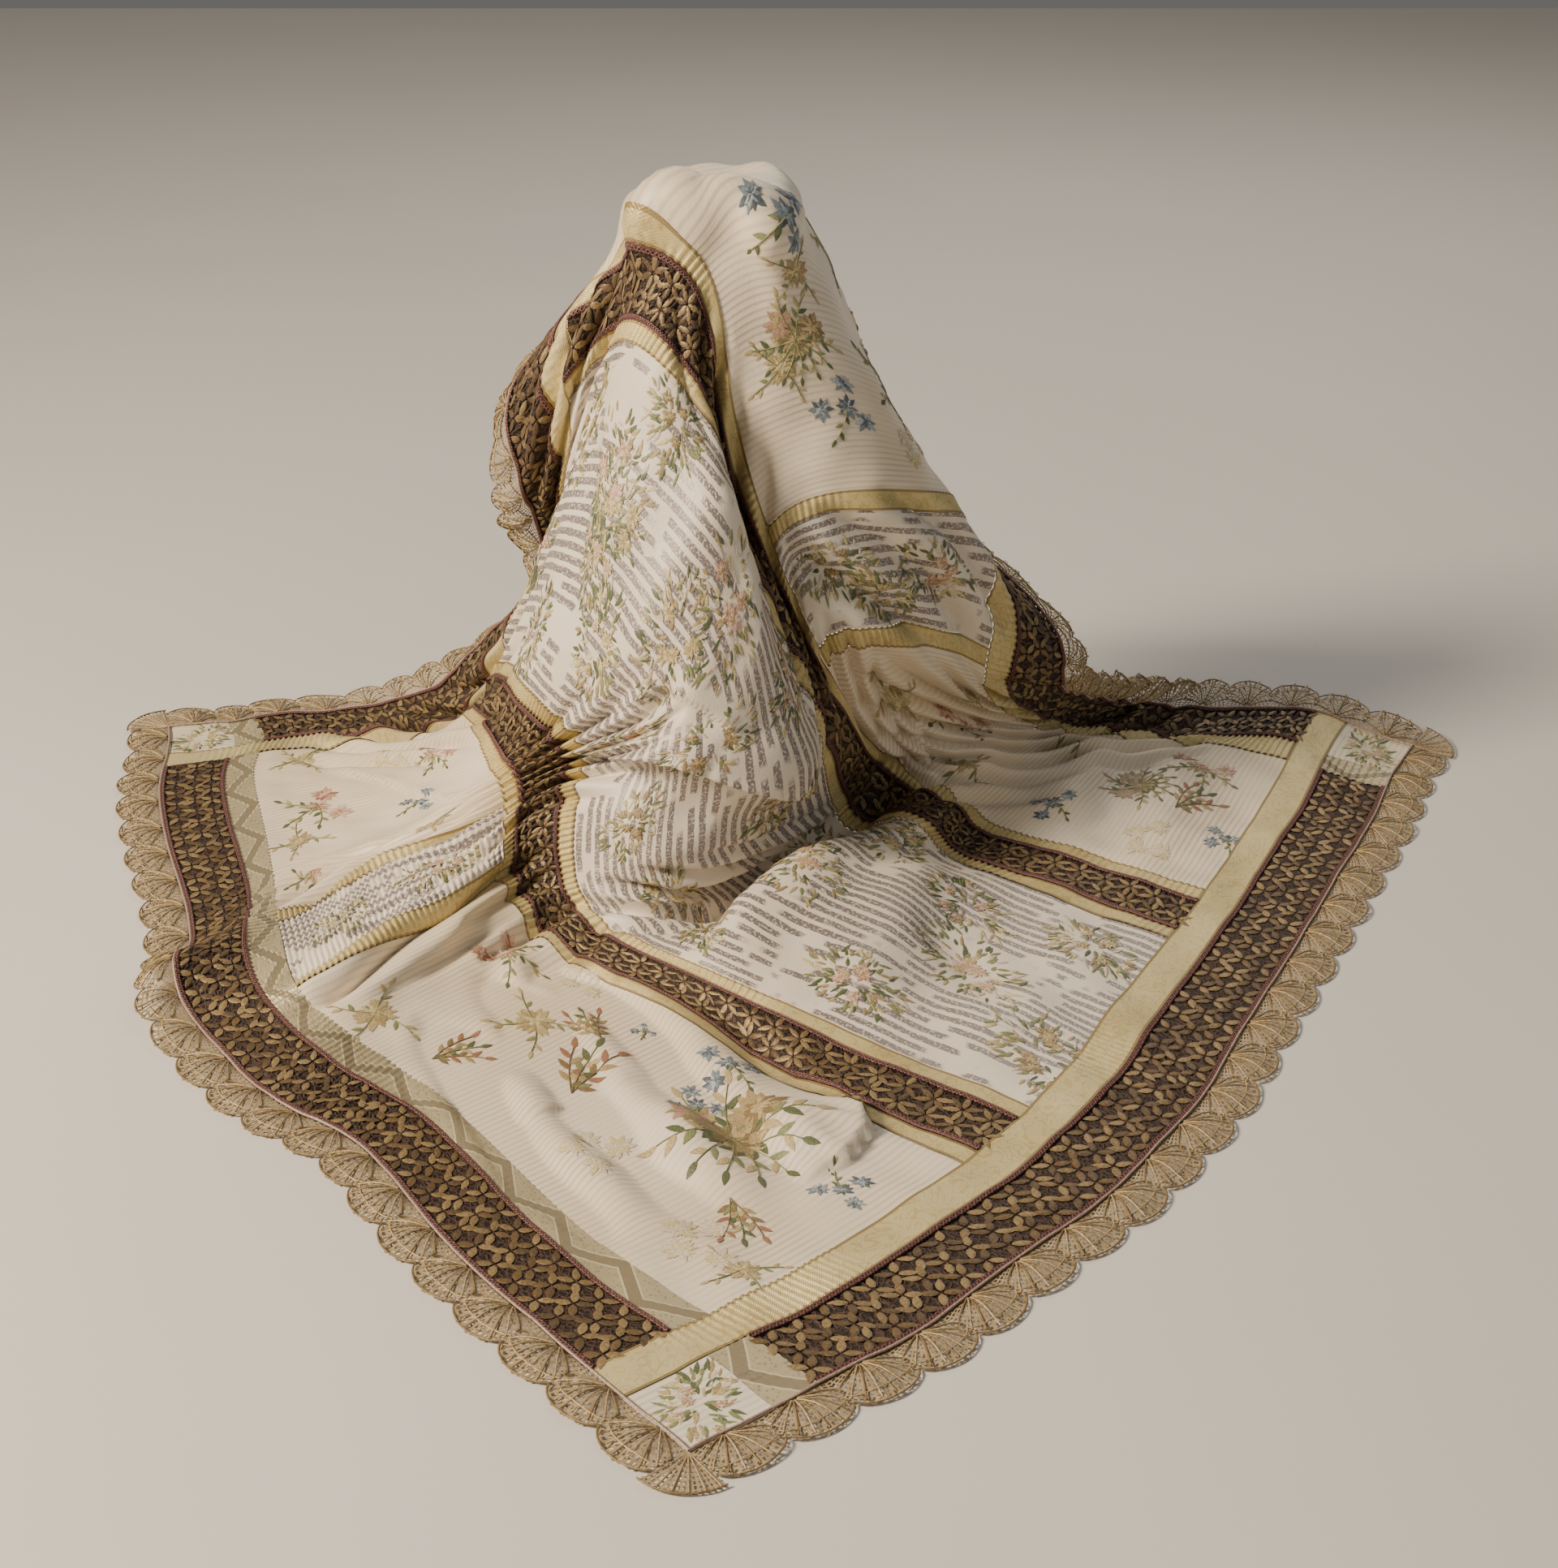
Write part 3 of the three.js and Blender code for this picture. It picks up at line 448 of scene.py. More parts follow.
def panel(u0, u1, v0, v1, lift, runs, crimped):
    """A fine sheet over one rectangle of the flat cloth, crimped where the drape squeezes its length."""
    fine, wide = CRIMP_PITCH if crimped else SHEET_PITCH, SHEET_PITCH
    pitch_u, pitch_v = (fine, wide) if runs == "u" else (wide, fine)
    nu, nv = max(2, round((u1 - u0) / pitch_u)) + 1, max(2, round((v1 - v0) / pitch_v)) + 1
    u, v = (a.ravel() for a in np.meshgrid(np.linspace(u0, u1, nu), np.linspace(v0, v1, nv), indexing="ij"))
    along, left = (u, length_left(u, v, 1, 0)) if runs == "u" else (v, length_left(u, v, 0, 1))
    steep = np.minimum(2.6 * np.sqrt(np.clip(crimped / np.maximum(left, 0.05) - 1, 0, None)), 3.2)
    height = np.minimum(left, 1) * steep * CRIMP_LENGTH / (2 * np.pi)
    puckers = height * np.sin(along * 2 * np.pi / CRIMP_LENGTH)
    return surface(u, v, lift + puckers), grid_faces(nu, nv), np.stack([u, v], 1) / 1000


class Threads:
    """Small raised forms laid on the cloth and joined to one mesh: petals and cords."""

    def __init__(self):
        self.points, self.faces, self.colours, self.count = [], [], [], 0

    def add(self, points, faces, colour):
        self.points.append(points)
        self.faces.append(faces + self.count)
        self.colours.append(np.broadcast_to(colour, (len(points), 4)))
        self.count += len(points)

    def petals(self, u, v, turn, length, width, colour, base=0.3, dome=0.5):
        """Pointed leaves from a root at u, v; every argument may be an array with one entry a leaf."""
        u, v, turn, length, width, base, dome = np.broadcast_arrays(
            *(np.atleast_1d(np.asarray(x, float)) for x in (u, v, turn, length, width, base, dome))
        )
        stations = np.array([0, 0.16, 0.42, 0.7, 1.0])
        spread = np.array([0.12, 0.72, 1.0, 0.74, 0.06])
        rise = np.array([0, 0.8, 1.0, 0.75, 0])
        along = (length[:, None] * stations)[:, :, None] * np.ones(3)
        across = (width[:, None] / 2 * spread)[:, :, None] * np.array([-1, 0, 1])
        lift = base[:, None, None] + (dome[:, None] * rise)[:, :, None] * np.array([0, 1, 0])
        cos, sin = np.cos(turn)[:, None, None], np.sin(turn)[:, None, None]
        at_u = u[:, None, None] + along * cos - across * sin
        at_v = v[:, None, None] + along * sin + across * cos
        points = np.stack([at_u, at_v, lift], -1)
        each = 3 * len(stations)
        first = each * np.arange(len(u))[:, None, None]
        faces = (grid_faces(len(stations), 3) + first).reshape(-1, 4)
        shade = np.asarray(colour, float)
        shade = np.broadcast_to(shade if shade.ndim == 2 else shade[None], (len(u), 4))
        self.add(points.reshape(-1, 3), faces, np.repeat(shade, each, 0))

    def cord(self, u, v, radius, colour, base, sides=5):
        """A round thread along a line of flat points."""
        u, v = np.asarray(u, float), np.asarray(v, float)
        du, dv = np.gradient(u), np.gradient(v)
        length = np.hypot(du, dv) + 1e-9
        angle = np.arange(sides) * 2 * np.pi / sides
        side, lift = radius * np.cos(angle), radius * np.sin(angle)
        points = np.stack(
            [
                u[:, None] - (dv / length)[:, None] * side,
                v[:, None] + (du / length)[:, None] * side,
                np.reshape(base, (-1, 1)) + radius + np.ones(len(u))[:, None] * lift,
            ],
            -1,
        )
        ring = np.arange(len(u) * sides).reshape(len(u), sides)
        after = np.roll(ring, -1, 1)
        faces = np.stack([ring[:-1], after[:-1], after[1:], ring[1:]], -1).reshape(-1, 4)
        self.add(points.reshape(-1, 3), faces[:, ::-1], colour)

    def finish(self, name, material):
        """The joined mesh of all forms so far."""
        points, faces, colours = (np.concatenate(a) for a in (self.points, self.faces, self.colours))
        places = surface(points[:, 0], points[:, 1], points[:, 2])
        return make_object(name, places, faces, points[:, :2] / 1000, colours, material)
def add(tree, kind, inputs=(), **settings):
    """Adds one node; inputs go by number or name, as plain values or other nodes' outputs."""
    node = tree.nodes.new("ShaderNode" + kind)
    for key, value in settings.items():
        setattr(node, key, value)
    for key, value in inputs.items() if isinstance(inputs, dict) else enumerate(inputs):
        if isinstance(value, bpy.types.NodeSocket):
            tree.links.new(value, node.inputs[key])
        else:
            node.inputs[key].default_value = value
    return node.outputs


def new_material(name):
    """An empty material, a way to add nodes to it, and places on the flat cloth in metres."""
    material = bpy.data.materials.new(name)
    material.use_nodes = True
    material.node_tree.nodes.clear()
    put = partial(add, material.node_tree)
    flat = put("UVMap", uv_map="flat")[0]
    along, across, _ = put("SeparateXYZ", (flat,))
    return material, put, flat, along, across


def close(material, put, look, relief, strength, depth):
    """Ends a material with its surface; the relief is a bump of this strength, and depth in metres."""
    bump = put("Bump", {"Height": relief, "Strength": strength, "Distance": depth})[0]
    surface_shader = put("BsdfPrincipled", {**look, "Normal": bump})[0]
    put("OutputMaterial", (surface_shader,))
    return material


# Weave pitches in metres: silk ribs, brocade bars and breaks, galloon threads, zigzags, fan rings.
RIB, BAR, BREAK, WARP, PICK, ZIGZAG, RING = 0.004, 0.0076, 0.021, 0.0012, 0.0017, 0.052, 0.0031


# Cream silk: fine ribs across, a soft sheen, slightly yellowed in places.
def cream_silk(name, ground, rib, yellow):
    material, put, flat, along, across = new_material(name)
    turns = put("Math", (across, 2 * np.pi / RIB), operation="MULTIPLY")[0]
    wave = put("Math", (turns,), operation="SINE")[0]
    ribs = put("MapRange", (wave, -0.2, 1.0, 0.0, 1.0))[0]
    patches = put("TexNoise", {"Vector": flat, "Scale": 16.0, "Detail": 2.0})[0]
    shown = put("MapRange", (patches, 0.35, 0.65, 0.25, 0.9))[0]
    amount = put("Math", (ribs, shown), operation="MULTIPLY")[0]
    slubs = put("TexNoise", {"Vector": flat, "Scale": 420.0, "Detail": 2.0})[0]
    age = put("TexNoise", {"Vector": flat, "Scale": 7.0, "Detail": 3.0})[0]
    aged = put("MapRange", (age, 0.4, 0.75, 0.0, 0.8))[0]
    tone = put("Mix", {0: aged, 6: linear(ground), 7: linear(yellow)}, data_type="RGBA")[2]
    ribbed = put("Mix", {0: amount, 6: tone, 7: linear(rib)}, data_type="RGBA")[2]
    relief = put("Math", (amount, slubs), operation="SUBTRACT")[0]
    look = {"Base Color": ribbed, "Roughness": 0.46, "Sheen Weight": 0.25, "Sheen Roughness": 0.4}
    return close(material, put, look, relief, 0.3, 0.0005)


# Striped brocade: a white silk ground with broken silver-grey bars, worn away in patches.
def striped_brocade(name):
    material, put, flat, along, across = new_material(name)
    ragged = put("TexNoise", {"Vector": flat, "Scale": 130.0, "Detail": 3.0})[0]
    shift = put("MapRange", {0: ragged, 3: -0.0009, 4: 0.0009})[0]
    moved = put("Math", (across, shift), operation="ADD")[0]
    rows = put("Math", (moved, BAR), operation="DIVIDE")[0]
    number = put("Math", (rows,), operation="FLOOR")[0]
    inside = put("Math", (rows,), operation="FRACT")[0]
    steps = put("Math", (along, BREAK), operation="DIVIDE")[0]
    lanes = put("Math", (number, 3.7), operation="MULTIPLY")[0]
    lane = put("CombineXYZ", (steps, lanes))[0]
    breaks = put("TexNoise", {"Vector": lane, "Scale": 1.0, "Detail": 1.0})[0]
    bar = put("Math", (inside, 0.5, 0.29), operation="COMPARE")[0]
    patches = put("TexNoise", {"Vector": flat, "Scale": 15.0, "Detail": 2.0})[0]
    broken = put("Math", (patches, 1.5, breaks), operation="MULTIPLY_ADD")[0]
    kept = put("MapRange", (broken, 1.13, 1.19, 0.0, 1.0))[0]
    wear = put("TexNoise", {"Vector": flat, "Scale": 600.0, "Detail": 2.0})[0]
    worn = put("MapRange", (wear, 0.36, 0.5, 0.25, 1.0))[0]
    patched = put("Math", (bar, kept), operation="MULTIPLY")[0]
    amount = put("Math", (patched, worn), operation="MULTIPLY")[0]
    lustre = put("TexNoise", {"Vector": flat, "Scale": 24.0, "Detail": 3.0})[0]
    ground = put("Mix", {0: lustre, 6: linear("#F1E9DB"), 7: linear("#DACDB9")}, data_type="RGBA")[2]
    colour = put("Mix", {0: amount, 6: ground, 7: linear("#8B817F")}, data_type="RGBA")[2]
    relief = put("Math", (amount, wear), operation="ADD")[0]
    metal = put("Math", (amount, 0.35), operation="MULTIPLY")[0]
    look = {"Base Color": colour, "Roughness": 0.45, "Metallic": metal, "Sheen Weight": 0.2}
    return close(material, put, look, relief, 0.35, 0.0005)


# Gold galloon: flat woven braid with fine lengthwise threads, faint scrolls and a worn metal shine.
def gold_galloon(name, light, dark, width):
    material, put, flat, along, across = new_material(name)
    turns = put("Math", (across, 2 * np.pi / WARP), operation="MULTIPLY")[0]
    weave = put("Math", (turns,), operation="SINE")[0]
    picks = put("Math", (along, 2 * np.pi / PICK), operation="MULTIPLY")[0]
    crossing = put("Math", (picks,), operation="SINE")[0]
    threads = put("Math", (weave, crossing), operation="MULTIPLY")[0]
    swirl = put("TexNoise", {"Vector": flat, "Scale": 85.0, "Detail": 1.0, "Distortion": 2.0})[0]
    scrolls = put("Math", (swirl, 0.5, 0.035), operation="COMPARE")[0]
    stain = put("TexNoise", {"Vector": flat, "Scale": 20.0, "Detail": 4.0})[0]
    from_middle = put("Math", (across, width / 2), operation="SUBTRACT")[0]
    away = put("Math", (from_middle,), operation="ABSOLUTE")[0]
    rim = put("Math", (away, width / 2 - 0.0016), operation="GREATER_THAN")[0]
    scrolled = put("Math", (scrolls, 0.22, stain), operation="MULTIPLY_ADD")[0]
    amount = put("MapRange", (scrolled, 0.3, 0.95))[0]
    body = put("Mix", {0: amount, 6: linear(light), 7: linear(dark)}, data_type="RGBA")[2]
    colour = put("Mix", {0: rim, 6: body, 7: linear("#9B8758")}, data_type="RGBA")[2]
    relief = put("Math", (threads, 0.35, scrolled), operation="MULTIPLY_ADD")[0]
    look = {"Base Color": colour, "Roughness": 0.42, "Metallic": 0.3}
    return close(material, put, look, relief, 0.45, 0.0006)


# Grey galloon: thin net braid with a broad zigzag ribbon and small dark dots.
def grey_galloon(name, width):
    material, put, flat, along, across = new_material(name)
    steps = put("Math", (along, ZIGZAG), operation="DIVIDE")[0]
    part = put("Math", (steps,), operation="FRACT")[0]
    swing = put("Math", (part, 0.5), operation="SUBTRACT")[0]
    zig = put("Math", (swing,), operation="ABSOLUTE")[0]
    centre = put("Math", (zig, 1.5 * width, 0.12 * width), operation="MULTIPLY_ADD")[0]
    gap = put("Math", (across, centre), operation="SUBTRACT")[0]
    away = put("Math", (gap,), operation="ABSOLUTE")[0]
    ribbon = put("Math", (away, 0.0042), operation="LESS_THAN")[0]
    edge = put("Math", (away, 0.0047, 0.0006), operation="COMPARE")[0]
    cells = put("TexVoronoi", {"Vector": flat, "Scale": 420.0})[0]
    dots = put("Math", (cells, 0.3), operation="LESS_THAN")[0]
    stain = put("TexNoise", {"Vector": flat, "Scale": 26.0, "Detail": 4.0})[0]
    net = put("Mix", {0: stain, 6: linear("#C9BE9C"), 7: linear("#9C9071")}, data_type="RGBA")[2]
    dotted = put("Math", (dots, 0.5), operation="MULTIPLY")[0]
    spotted = put("Mix", {0: dotted, 6: net, 7: linear("#7A6F55")}, data_type="RGBA")[2]
    crossed = put("Mix", {0: ribbon, 6: spotted, 7: linear("#8F846A")}, data_type="RGBA")[2]
    colour = put("Mix", {0: edge, 6: crossed, 7: linear("#D3C9A8")}, data_type="RGBA")[2]
    relief = put("Math", (cells, ribbon), operation="ADD")[0]
    look = {"Base Color": colour, "Roughness": 0.45, "Metallic": 0.25}
    return close(material, put, look, relief, 0.4, 0.0006)


# Ground of the bronze lace: coarse brown threads, with painted shade filling the gaps between them.
def lace_ground(name):
    material, put, flat, along, across = new_material(name)
    cells = put("TexVoronoi", {"Vector": flat, "Scale": 330.0}, feature="DISTANCE_TO_EDGE")[0]
    thread = put("MapRange", (cells, 0.06, 0.2, 1.0, 0.0))[0]
    tone = put("TexNoise", {"Vector": flat, "Scale": 90.0, "Detail": 3.0})[0]
    # Painted shade: near-black browns in the gaps between the threads stand in for shadow under the open
    # lace.
    dark = put("Mix", {0: tone, 6: linear("#1A110B"), 7: linear("#2A1C14")}, data_type="RGBA")[2]
    colour = put("Mix", {0: thread, 6: dark, 7: linear("#47342A")}, data_type="RGBA")[2]
    look = {"Base Color": colour, "Roughness": 0.65, "Metallic": 0.1}
    return close(material, put, look, thread, 0.8, 0.001)


# Thread laid in small stitches: each form has its own dye, with finer light and dark strands.
def stitched_thread(name, roughness, metallic, strands):
    material, put, flat, along, across = new_material(name)
    dye = put("VertexColor", layer_name="thread")[0]
    fine = put("TexNoise", {"Vector": flat, "Scale": strands, "Detail": 2.0})[0]
    shade = put("MapRange", (fine, 0.3, 0.7, 0.62, 1.25))[0]
    colour = put("VectorMath", {0: dye, 3: shade}, operation="SCALE")[0]
    look = {"Base Color": colour, "Roughness": roughness, "Metallic": metallic}
    return close(material, put, look, fine, 0.4, 0.0006)


# Fan edging: fine bronze net, open between the rays and rings of each fan.
def fan_net(name):
    material, put, flat, along, across = new_material(name)
    rays = put("Math", (along,), operation="FRACT")[0]
    ray = put("Math", (rays, 0.5, 0.22), operation="COMPARE")[0]
    rings = put("Math", (across, RING), operation="DIVIDE")[0]
    part = put("Math", (rings,), operation="FRACT")[0]
    ring = put("Math", (part, 0.5, 0.15), operation="COMPARE")[0]
    solid = put("Math", (ray, ring), operation="MAXIMUM")[0]
    tone = put("TexNoise", {"Vector": flat, "Scale": 9.0, "Detail": 3.0})[0]
    colour = put("Mix", {0: tone, 6: linear("#C4AE86"), 7: linear("#927C57")}, data_type="RGBA")[2]
    bump = put("Bump", {"Height": solid, "Strength": 0.5, "Distance": 0.0006})[0]
    look = {"Base Color": colour, "Roughness": 0.55, "Metallic": 0.2, "Normal": bump}
    thread = put("BsdfPrincipled", look)[0]
    hole = put("BsdfTransparent")[0]
    net = put("MixShader", (solid, hole, thread))[0]
    put("OutputMaterial", (net,))
    return material


# Waxed wood of the post: long soft grain.
def waxed_wood(name):
    material, put, flat, along, across = new_material(name)
    place = put("TexCoord")[3]
    long = put("Mapping", {0: place, 3: (60.0, 60.0, 4.0)})[0]
    grain = put("TexNoise", {"Vector": long, "Scale": 1.0, "Detail": 5.0})[0]
    colour = put("Mix", {0: grain, 6: linear("#5E4029"), 7: linear("#9A754C")}, data_type="RGBA")[2]
    return close(material, put, {"Base Color": colour, "Roughness": 0.45}, grain, 0.15, 0.001)


# Pale studio floor, almost even.
def pale_floor(name):
    material, put, flat, along, across = new_material(name)
    place = put("TexCoord")[3]
    cloud = put("TexNoise", {"Vector": place, "Scale": 3.0, "Detail": 3.0})[0]
    colour = put("Mix", {0: cloud, 6: linear("#D8D5D0"), 7: linear("#E0DDD8")}, data_type="RGBA")[2]
    shader = put("BsdfPrincipled", {"Base Color": colour, "Roughness": 0.7})[0]
    put("OutputMaterial", (shader,))
    return material


silk = cream_silk("cream ribbed silk", "#EBDFCB", "#C9B9A4", "#DCC9A0")
patch_silk = cream_silk("pale patch silk", "#E8E0CE", "#BDB29C", "#D3C69E")
striped = striped_brocade("silver striped brocade")
wide_gold = gold_galloon("wide gold galloon", "#E6D8A6", "#B9A468", GALLOON / 1000)
band_gold = gold_galloon("band gold galloon", "#E0D09A", "#B39D60", BAND_GALLOON / 1000)
narrow_gold = gold_galloon("narrow gold galloon", "#E0D09A", "#B09A5E", NARROW / 1000)
grey_braid = grey_galloon("grey zigzag galloon", GALLOON / 1000)
# Lace ground whose dark gaps are painted shade.
bronze_lace_shaded_ground = lace_ground("bronze lace ground with painted gap shade")
bronze_thread = stitched_thread("bronze lace thread", 0.5, 0.3, 700.0)
floss = stitched_thread("woven silk floss", 0.5, 0.0, 900.0)
fan_thread = fan_net("bronze fan net")
wood = waxed_wood("waxed post wood")

# Seams worked out from the widths.
u_left = LACE + GALLOON
u_strip = u_left + CREAM
u_lace = u_strip + NARROW
u_inner = u_lace + INNER_LACE
u_centre = u_inner + NARROW
v_front, v_back = LACE + GALLOON, LENGTH - LACE - GALLOON
band_front, band_back = BAND_START - BAND_GALLOON, BAND_END + BAND_GALLOON
right = lambda span: (WIDTH - span[1], WIDTH - span[0])

# Spans between the seams, along u and along v.
lace, braid, cream = (0, LACE), (LACE, u_left), (u_left, u_strip)
outer, strip, inner = (u_strip, u_lace), (u_lace, u_inner), (u_inner, u_centre)
near_lace, near_braid, field = (0, LACE), (LACE, v_front), (v_front, v_back)
far_braid, far_lace = (v_back, LENGTH - LACE), (LENGTH - LACE, LENGTH)
front_part, back_part, band = (v_front, band_front), (band_back, v_back), (BAND_START, BAND_END)
band_near, band_far = (band_front, BAND_START), (BAND_END, band_back)

# Every rectangular sheet: node, material, span along u, span along v, lift, and the way its pattern runs.
SHEETS = (
    ("centre_panel", striped, (u_centre, WIDTH - u_centre), field, 0.0, "v"),
    ("left_cream_front", silk, cream, front_part, 0.0, "u"),
    ("left_band", striped, cream, band, 0.0, "u"),
    ("left_cream_back", silk, cream, back_part, 0.0, "u"),
    ("right_cream_front", silk, right(cream), front_part, 0.0, "u"),
    ("right_band", striped, right(cream), band, 0.0, "u"),
    ("right_cream_back", silk, right(cream), back_part, 0.0, "u"),
    ("left_band_galloon_front", band_gold, cream, band_near, 0.5, "u"),
    ("left_band_galloon_back", band_gold, cream, band_far, 0.5, "u"),
    ("right_band_galloon_front", band_gold, right(cream), band_near, 0.5, "u"),
    ("right_band_galloon_back", band_gold, right(cream), band_far, 0.5, "u"),
    ("inner_galloon_left_outer", narrow_gold, outer, field, 0.6, "v"),
    ("inner_lace_left", bronze_lace_shaded_ground, strip, field, 0.3, "v"),
    ("inner_galloon_left_inner", narrow_gold, inner, field, 0.6, "v"),
    ("inner_galloon_right_inner", narrow_gold, right(inner), field, 0.6, "v"),
    ("inner_lace_right", bronze_lace_shaded_ground, right(strip), field, 0.3, "v"),
    ("inner_galloon_right_outer", narrow_gold, right(outer), field, 0.6, "v"),
    ("front_galloon", wide_gold, (0, WIDTH), near_braid, 0.7, "u"),
    ("back_galloon", wide_gold, (0, WIDTH), far_braid, 0.7, "u"),
    ("left_galloon", grey_braid, braid, field, 0.5, "v"),
    ("right_galloon", wide_gold, right(braid), field, 0.5, "v"),
    ("left_lace", bronze_lace_shaded_ground, lace, field, 0.2, "v"),
    ("right_lace", bronze_lace_shaded_ground, right(lace), field, 0.2, "v"),
    ("front_lace", bronze_lace_shaded_ground, (u_left, WIDTH - u_left), near_lace, 0.2, "u"),
    ("back_lace", bronze_lace_shaded_ground, (u_left, WIDTH - u_left), far_lace, 0.2, "u"),
    ("front_left_patch", patch_silk, lace, near_lace, 0.2, "u"),
    ("front_right_patch", patch_silk, right(lace), near_lace, 0.2, "u"),
    ("back_left_patch", patch_silk, lace, far_lace, 0.2, "u"),
    ("back_right_patch", patch_silk, right(lace), far_lace, 0.2, "u"),
    ("front_left_grey_galloon", grey_braid, braid, near_lace, 0.4, "v"),
    ("front_right_grey_galloon", grey_braid, right(braid), near_lace, 0.4, "v"),
    ("back_left_grey_galloon", grey_braid, braid, far_lace, 0.4, "v"),
    ("back_right_grey_galloon", grey_braid, right(braid), far_lace, 0.4, "v"),
)
SLOTS = {
    silk.name: "silk_cream",
    patch_silk.name: "silk_patch",
    striped.name: "brocade_striped",
    wide_gold.name: "galloon_gold",
    band_gold.name: "galloon_gold",
    narrow_gold.name: "galloon_gold",
    grey_braid.name: "galloon_grey",
    bronze_lace_shaded_ground.name: "lace_bronze",
}
# Share of its flat length below which a trimming crimps; other sheets stay plain.
CRIMPED = {"lace_bronze": 1.0, "galloon_gold": 0.94, "galloon_grey": 1.0}

for node, material, (u0, u1), (v0, v1), lift, runs in SHEETS:
    slot = SLOTS[material.name]
    crimped = 1.0 if node == "left_band" else CRIMPED.get(slot, 0.0)
    places, faces, flat = panel(u0, u1, v0, v1, lift, runs, crimped)
    if material not in (silk, patch_silk):
        flat = flat - np.array([u0, v0]) / 1000
        if runs == "v":
            flat = flat[:, ::-1]
    piece = make_object(node + "_cloth", places, faces, flat, material=material)
    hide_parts(node)

# Dyes of the woven flowers.
DYE_CODES = {
    "gold": "#BEAB7C", "tan": "#A9936A", "brown": "#84704F", "leaf": "#868A5E", "moss": "#5C6645",
    "coral": "#C49C84", "rust": "#9C7059", "pink": "#DBBFAB", "blue": "#7C8994", "slate": "#565F68",
    "sky": "#A9B2B6", "pale": "#DCCFB8", "straw": "#D6C797",
}
DYES = {name: linear(code) for name, code in DYE_CODES.items()}
chance = np.random.default_rng(7)


def beside(u, v, turn, size, reach):
    """Place at a share of a group's size from its middle."""
    return u + np.cos(turn) * size * reach, v + np.sin(turn) * size * reach


def bloom(threads, u, v, radius, petals, dyes, turn=0.0, base=0.3):
    """A round flower: an outer ring of uneven petals, an inner ring and a knot of small ones."""
    for ring, (size, dye) in enumerate(zip((1.0, 0.66, 0.36), dyes)):
        count = round(petals * 1.7)
        angles = turn + ring * 0.4 + np.arange(count) * 2 * np.pi / count + chance.normal(0, 0.12, count)
        reach = radius * size * chance.uniform(0.72, 1.12, count)
        mixed = (dye, dye, dyes[(ring + 1) % 3])
        shade = np.array([DYES[mixed[k]] for k in chance.integers(3, size=count)])
        threads.petals(u, v, angles, reach, reach * 0.42, shade, base + 0.1 * ring, 0.25)


def spray(threads, u, v, turn, length, leaves, dyes, base=0.3):
    """A stem with pairs of small leaves."""
    reach = np.linspace(0, length, 9)
    bend = np.sin(reach / length * 2.2) * length * 0.12
    su = u + reach * np.cos(turn) - bend * np.sin(turn)
    sv = v + reach * np.sin(turn) + bend * np.cos(turn)
    threads.cord(su, sv, 0.35, DYES[dyes[0]], base - 0.2, 4)
    for k in range(leaves):
        at = 1 + k * 7 // max(1, leaves)
        side = 0.75 if k % 2 else -0.75
        dye = DYES[dyes[k % len(dyes)]]
        threads.petals(su[at], sv[at], turn + side, length * 0.28, length * 0.11, dye, base, 0.3)
    threads.petals(su[-1], sv[-1], turn, length * 0.26, length * 0.11, DYES[dyes[-1]], base, 0.3)


def bouquet(threads, u, v, turn, size):
    """Large gold blossoms over a fan of leaves, with smaller coral ones between."""
    for side in (-0.9, -0.45, 0.0, 0.45, 0.9):
        spray(threads, u, v, turn + np.pi + side, size * 0.62, 5, ("leaf", "gold", "moss"))
    for side, reach, dyes in ((-0.9, 0.42, ("tan", "brown", "gold")), (0.8, 0.4, ("tan", "coral", "gold"))):
        a = turn + side
        bloom(threads, *beside(u, v, a, size, reach), size * 0.3, 8, dyes, a)
    bloom(threads, u, v, size * 0.36, 9, ("tan", "brown", "gold"), turn)
    for side in (-0.35, 0.3, 1.6, -1.7):
        spray(threads, u, v, turn + side, size * 0.75, 6, ("leaf", "moss", "gold"))


def blue_group(threads, u, v, turn, size):
    for k, (a, reach) in enumerate(((0.0, 0.0), (0.9, 0.75), (2.6, 0.8), (-1.2, 0.7))):
        a += turn
        dyes = ("blue", "sky", "slate") if k % 2 else ("slate", "blue", "sky")
        bloom(threads, *beside(u, v, a, size, reach), size * 0.42, 5, dyes, a)
    spray(threads, u, v, turn + 3.6, size * 1.1, 4, ("leaf", "moss"))


def rose_group(threads, u, v, turn, size):
    light, deep = ("pink", "coral", "rust"), ("coral", "rust", "pink")
    for a, reach, dyes in ((0.0, 0.0, light), (1.0, 0.8, deep), (-1.1, 0.85, light)):
        a += turn
        bloom(threads, *beside(u, v, a, size, reach), size * 0.45, 6, dyes, a)
    for a in (2.2, 3.4, 4.3):
        spray(threads, u, v, turn + a, size * 1.2, 5, ("leaf", "gold", "moss"))


def gold_group(threads, u, v, turn, size):
    bloom(threads, u, v, size * 0.5, 8, ("gold", "tan", "straw"), turn)
    for a in (0.5, 2.0, 3.3, 4.8):
        spray(threads, u, v, turn + a, size, 4, ("leaf", "gold"))


def pale_group(threads, u, v, turn, size):
    for a in (0.0, 1.3, 2.6, 4.0):
        at = beside(u, v, a + turn, size, 0.6)
        bloom(threads, *at, size * 0.4, 7, ("pale", "straw", "pale"), a)


def leaf_group(threads, u, v, turn, size):
    for a in (-0.35, 0.0, 0.35):
        spray(threads, u, v, turn + a, size, 6, ("brown", "tan", "rust") if a else ("leaf", "gold", "moss"))


GROUPS = {
    "bouquet": bouquet,
    "blue": blue_group,
    "rose": rose_group,
    "gold": gold_group,
    "pale": pale_group,
    "leaves": leaf_group,
}
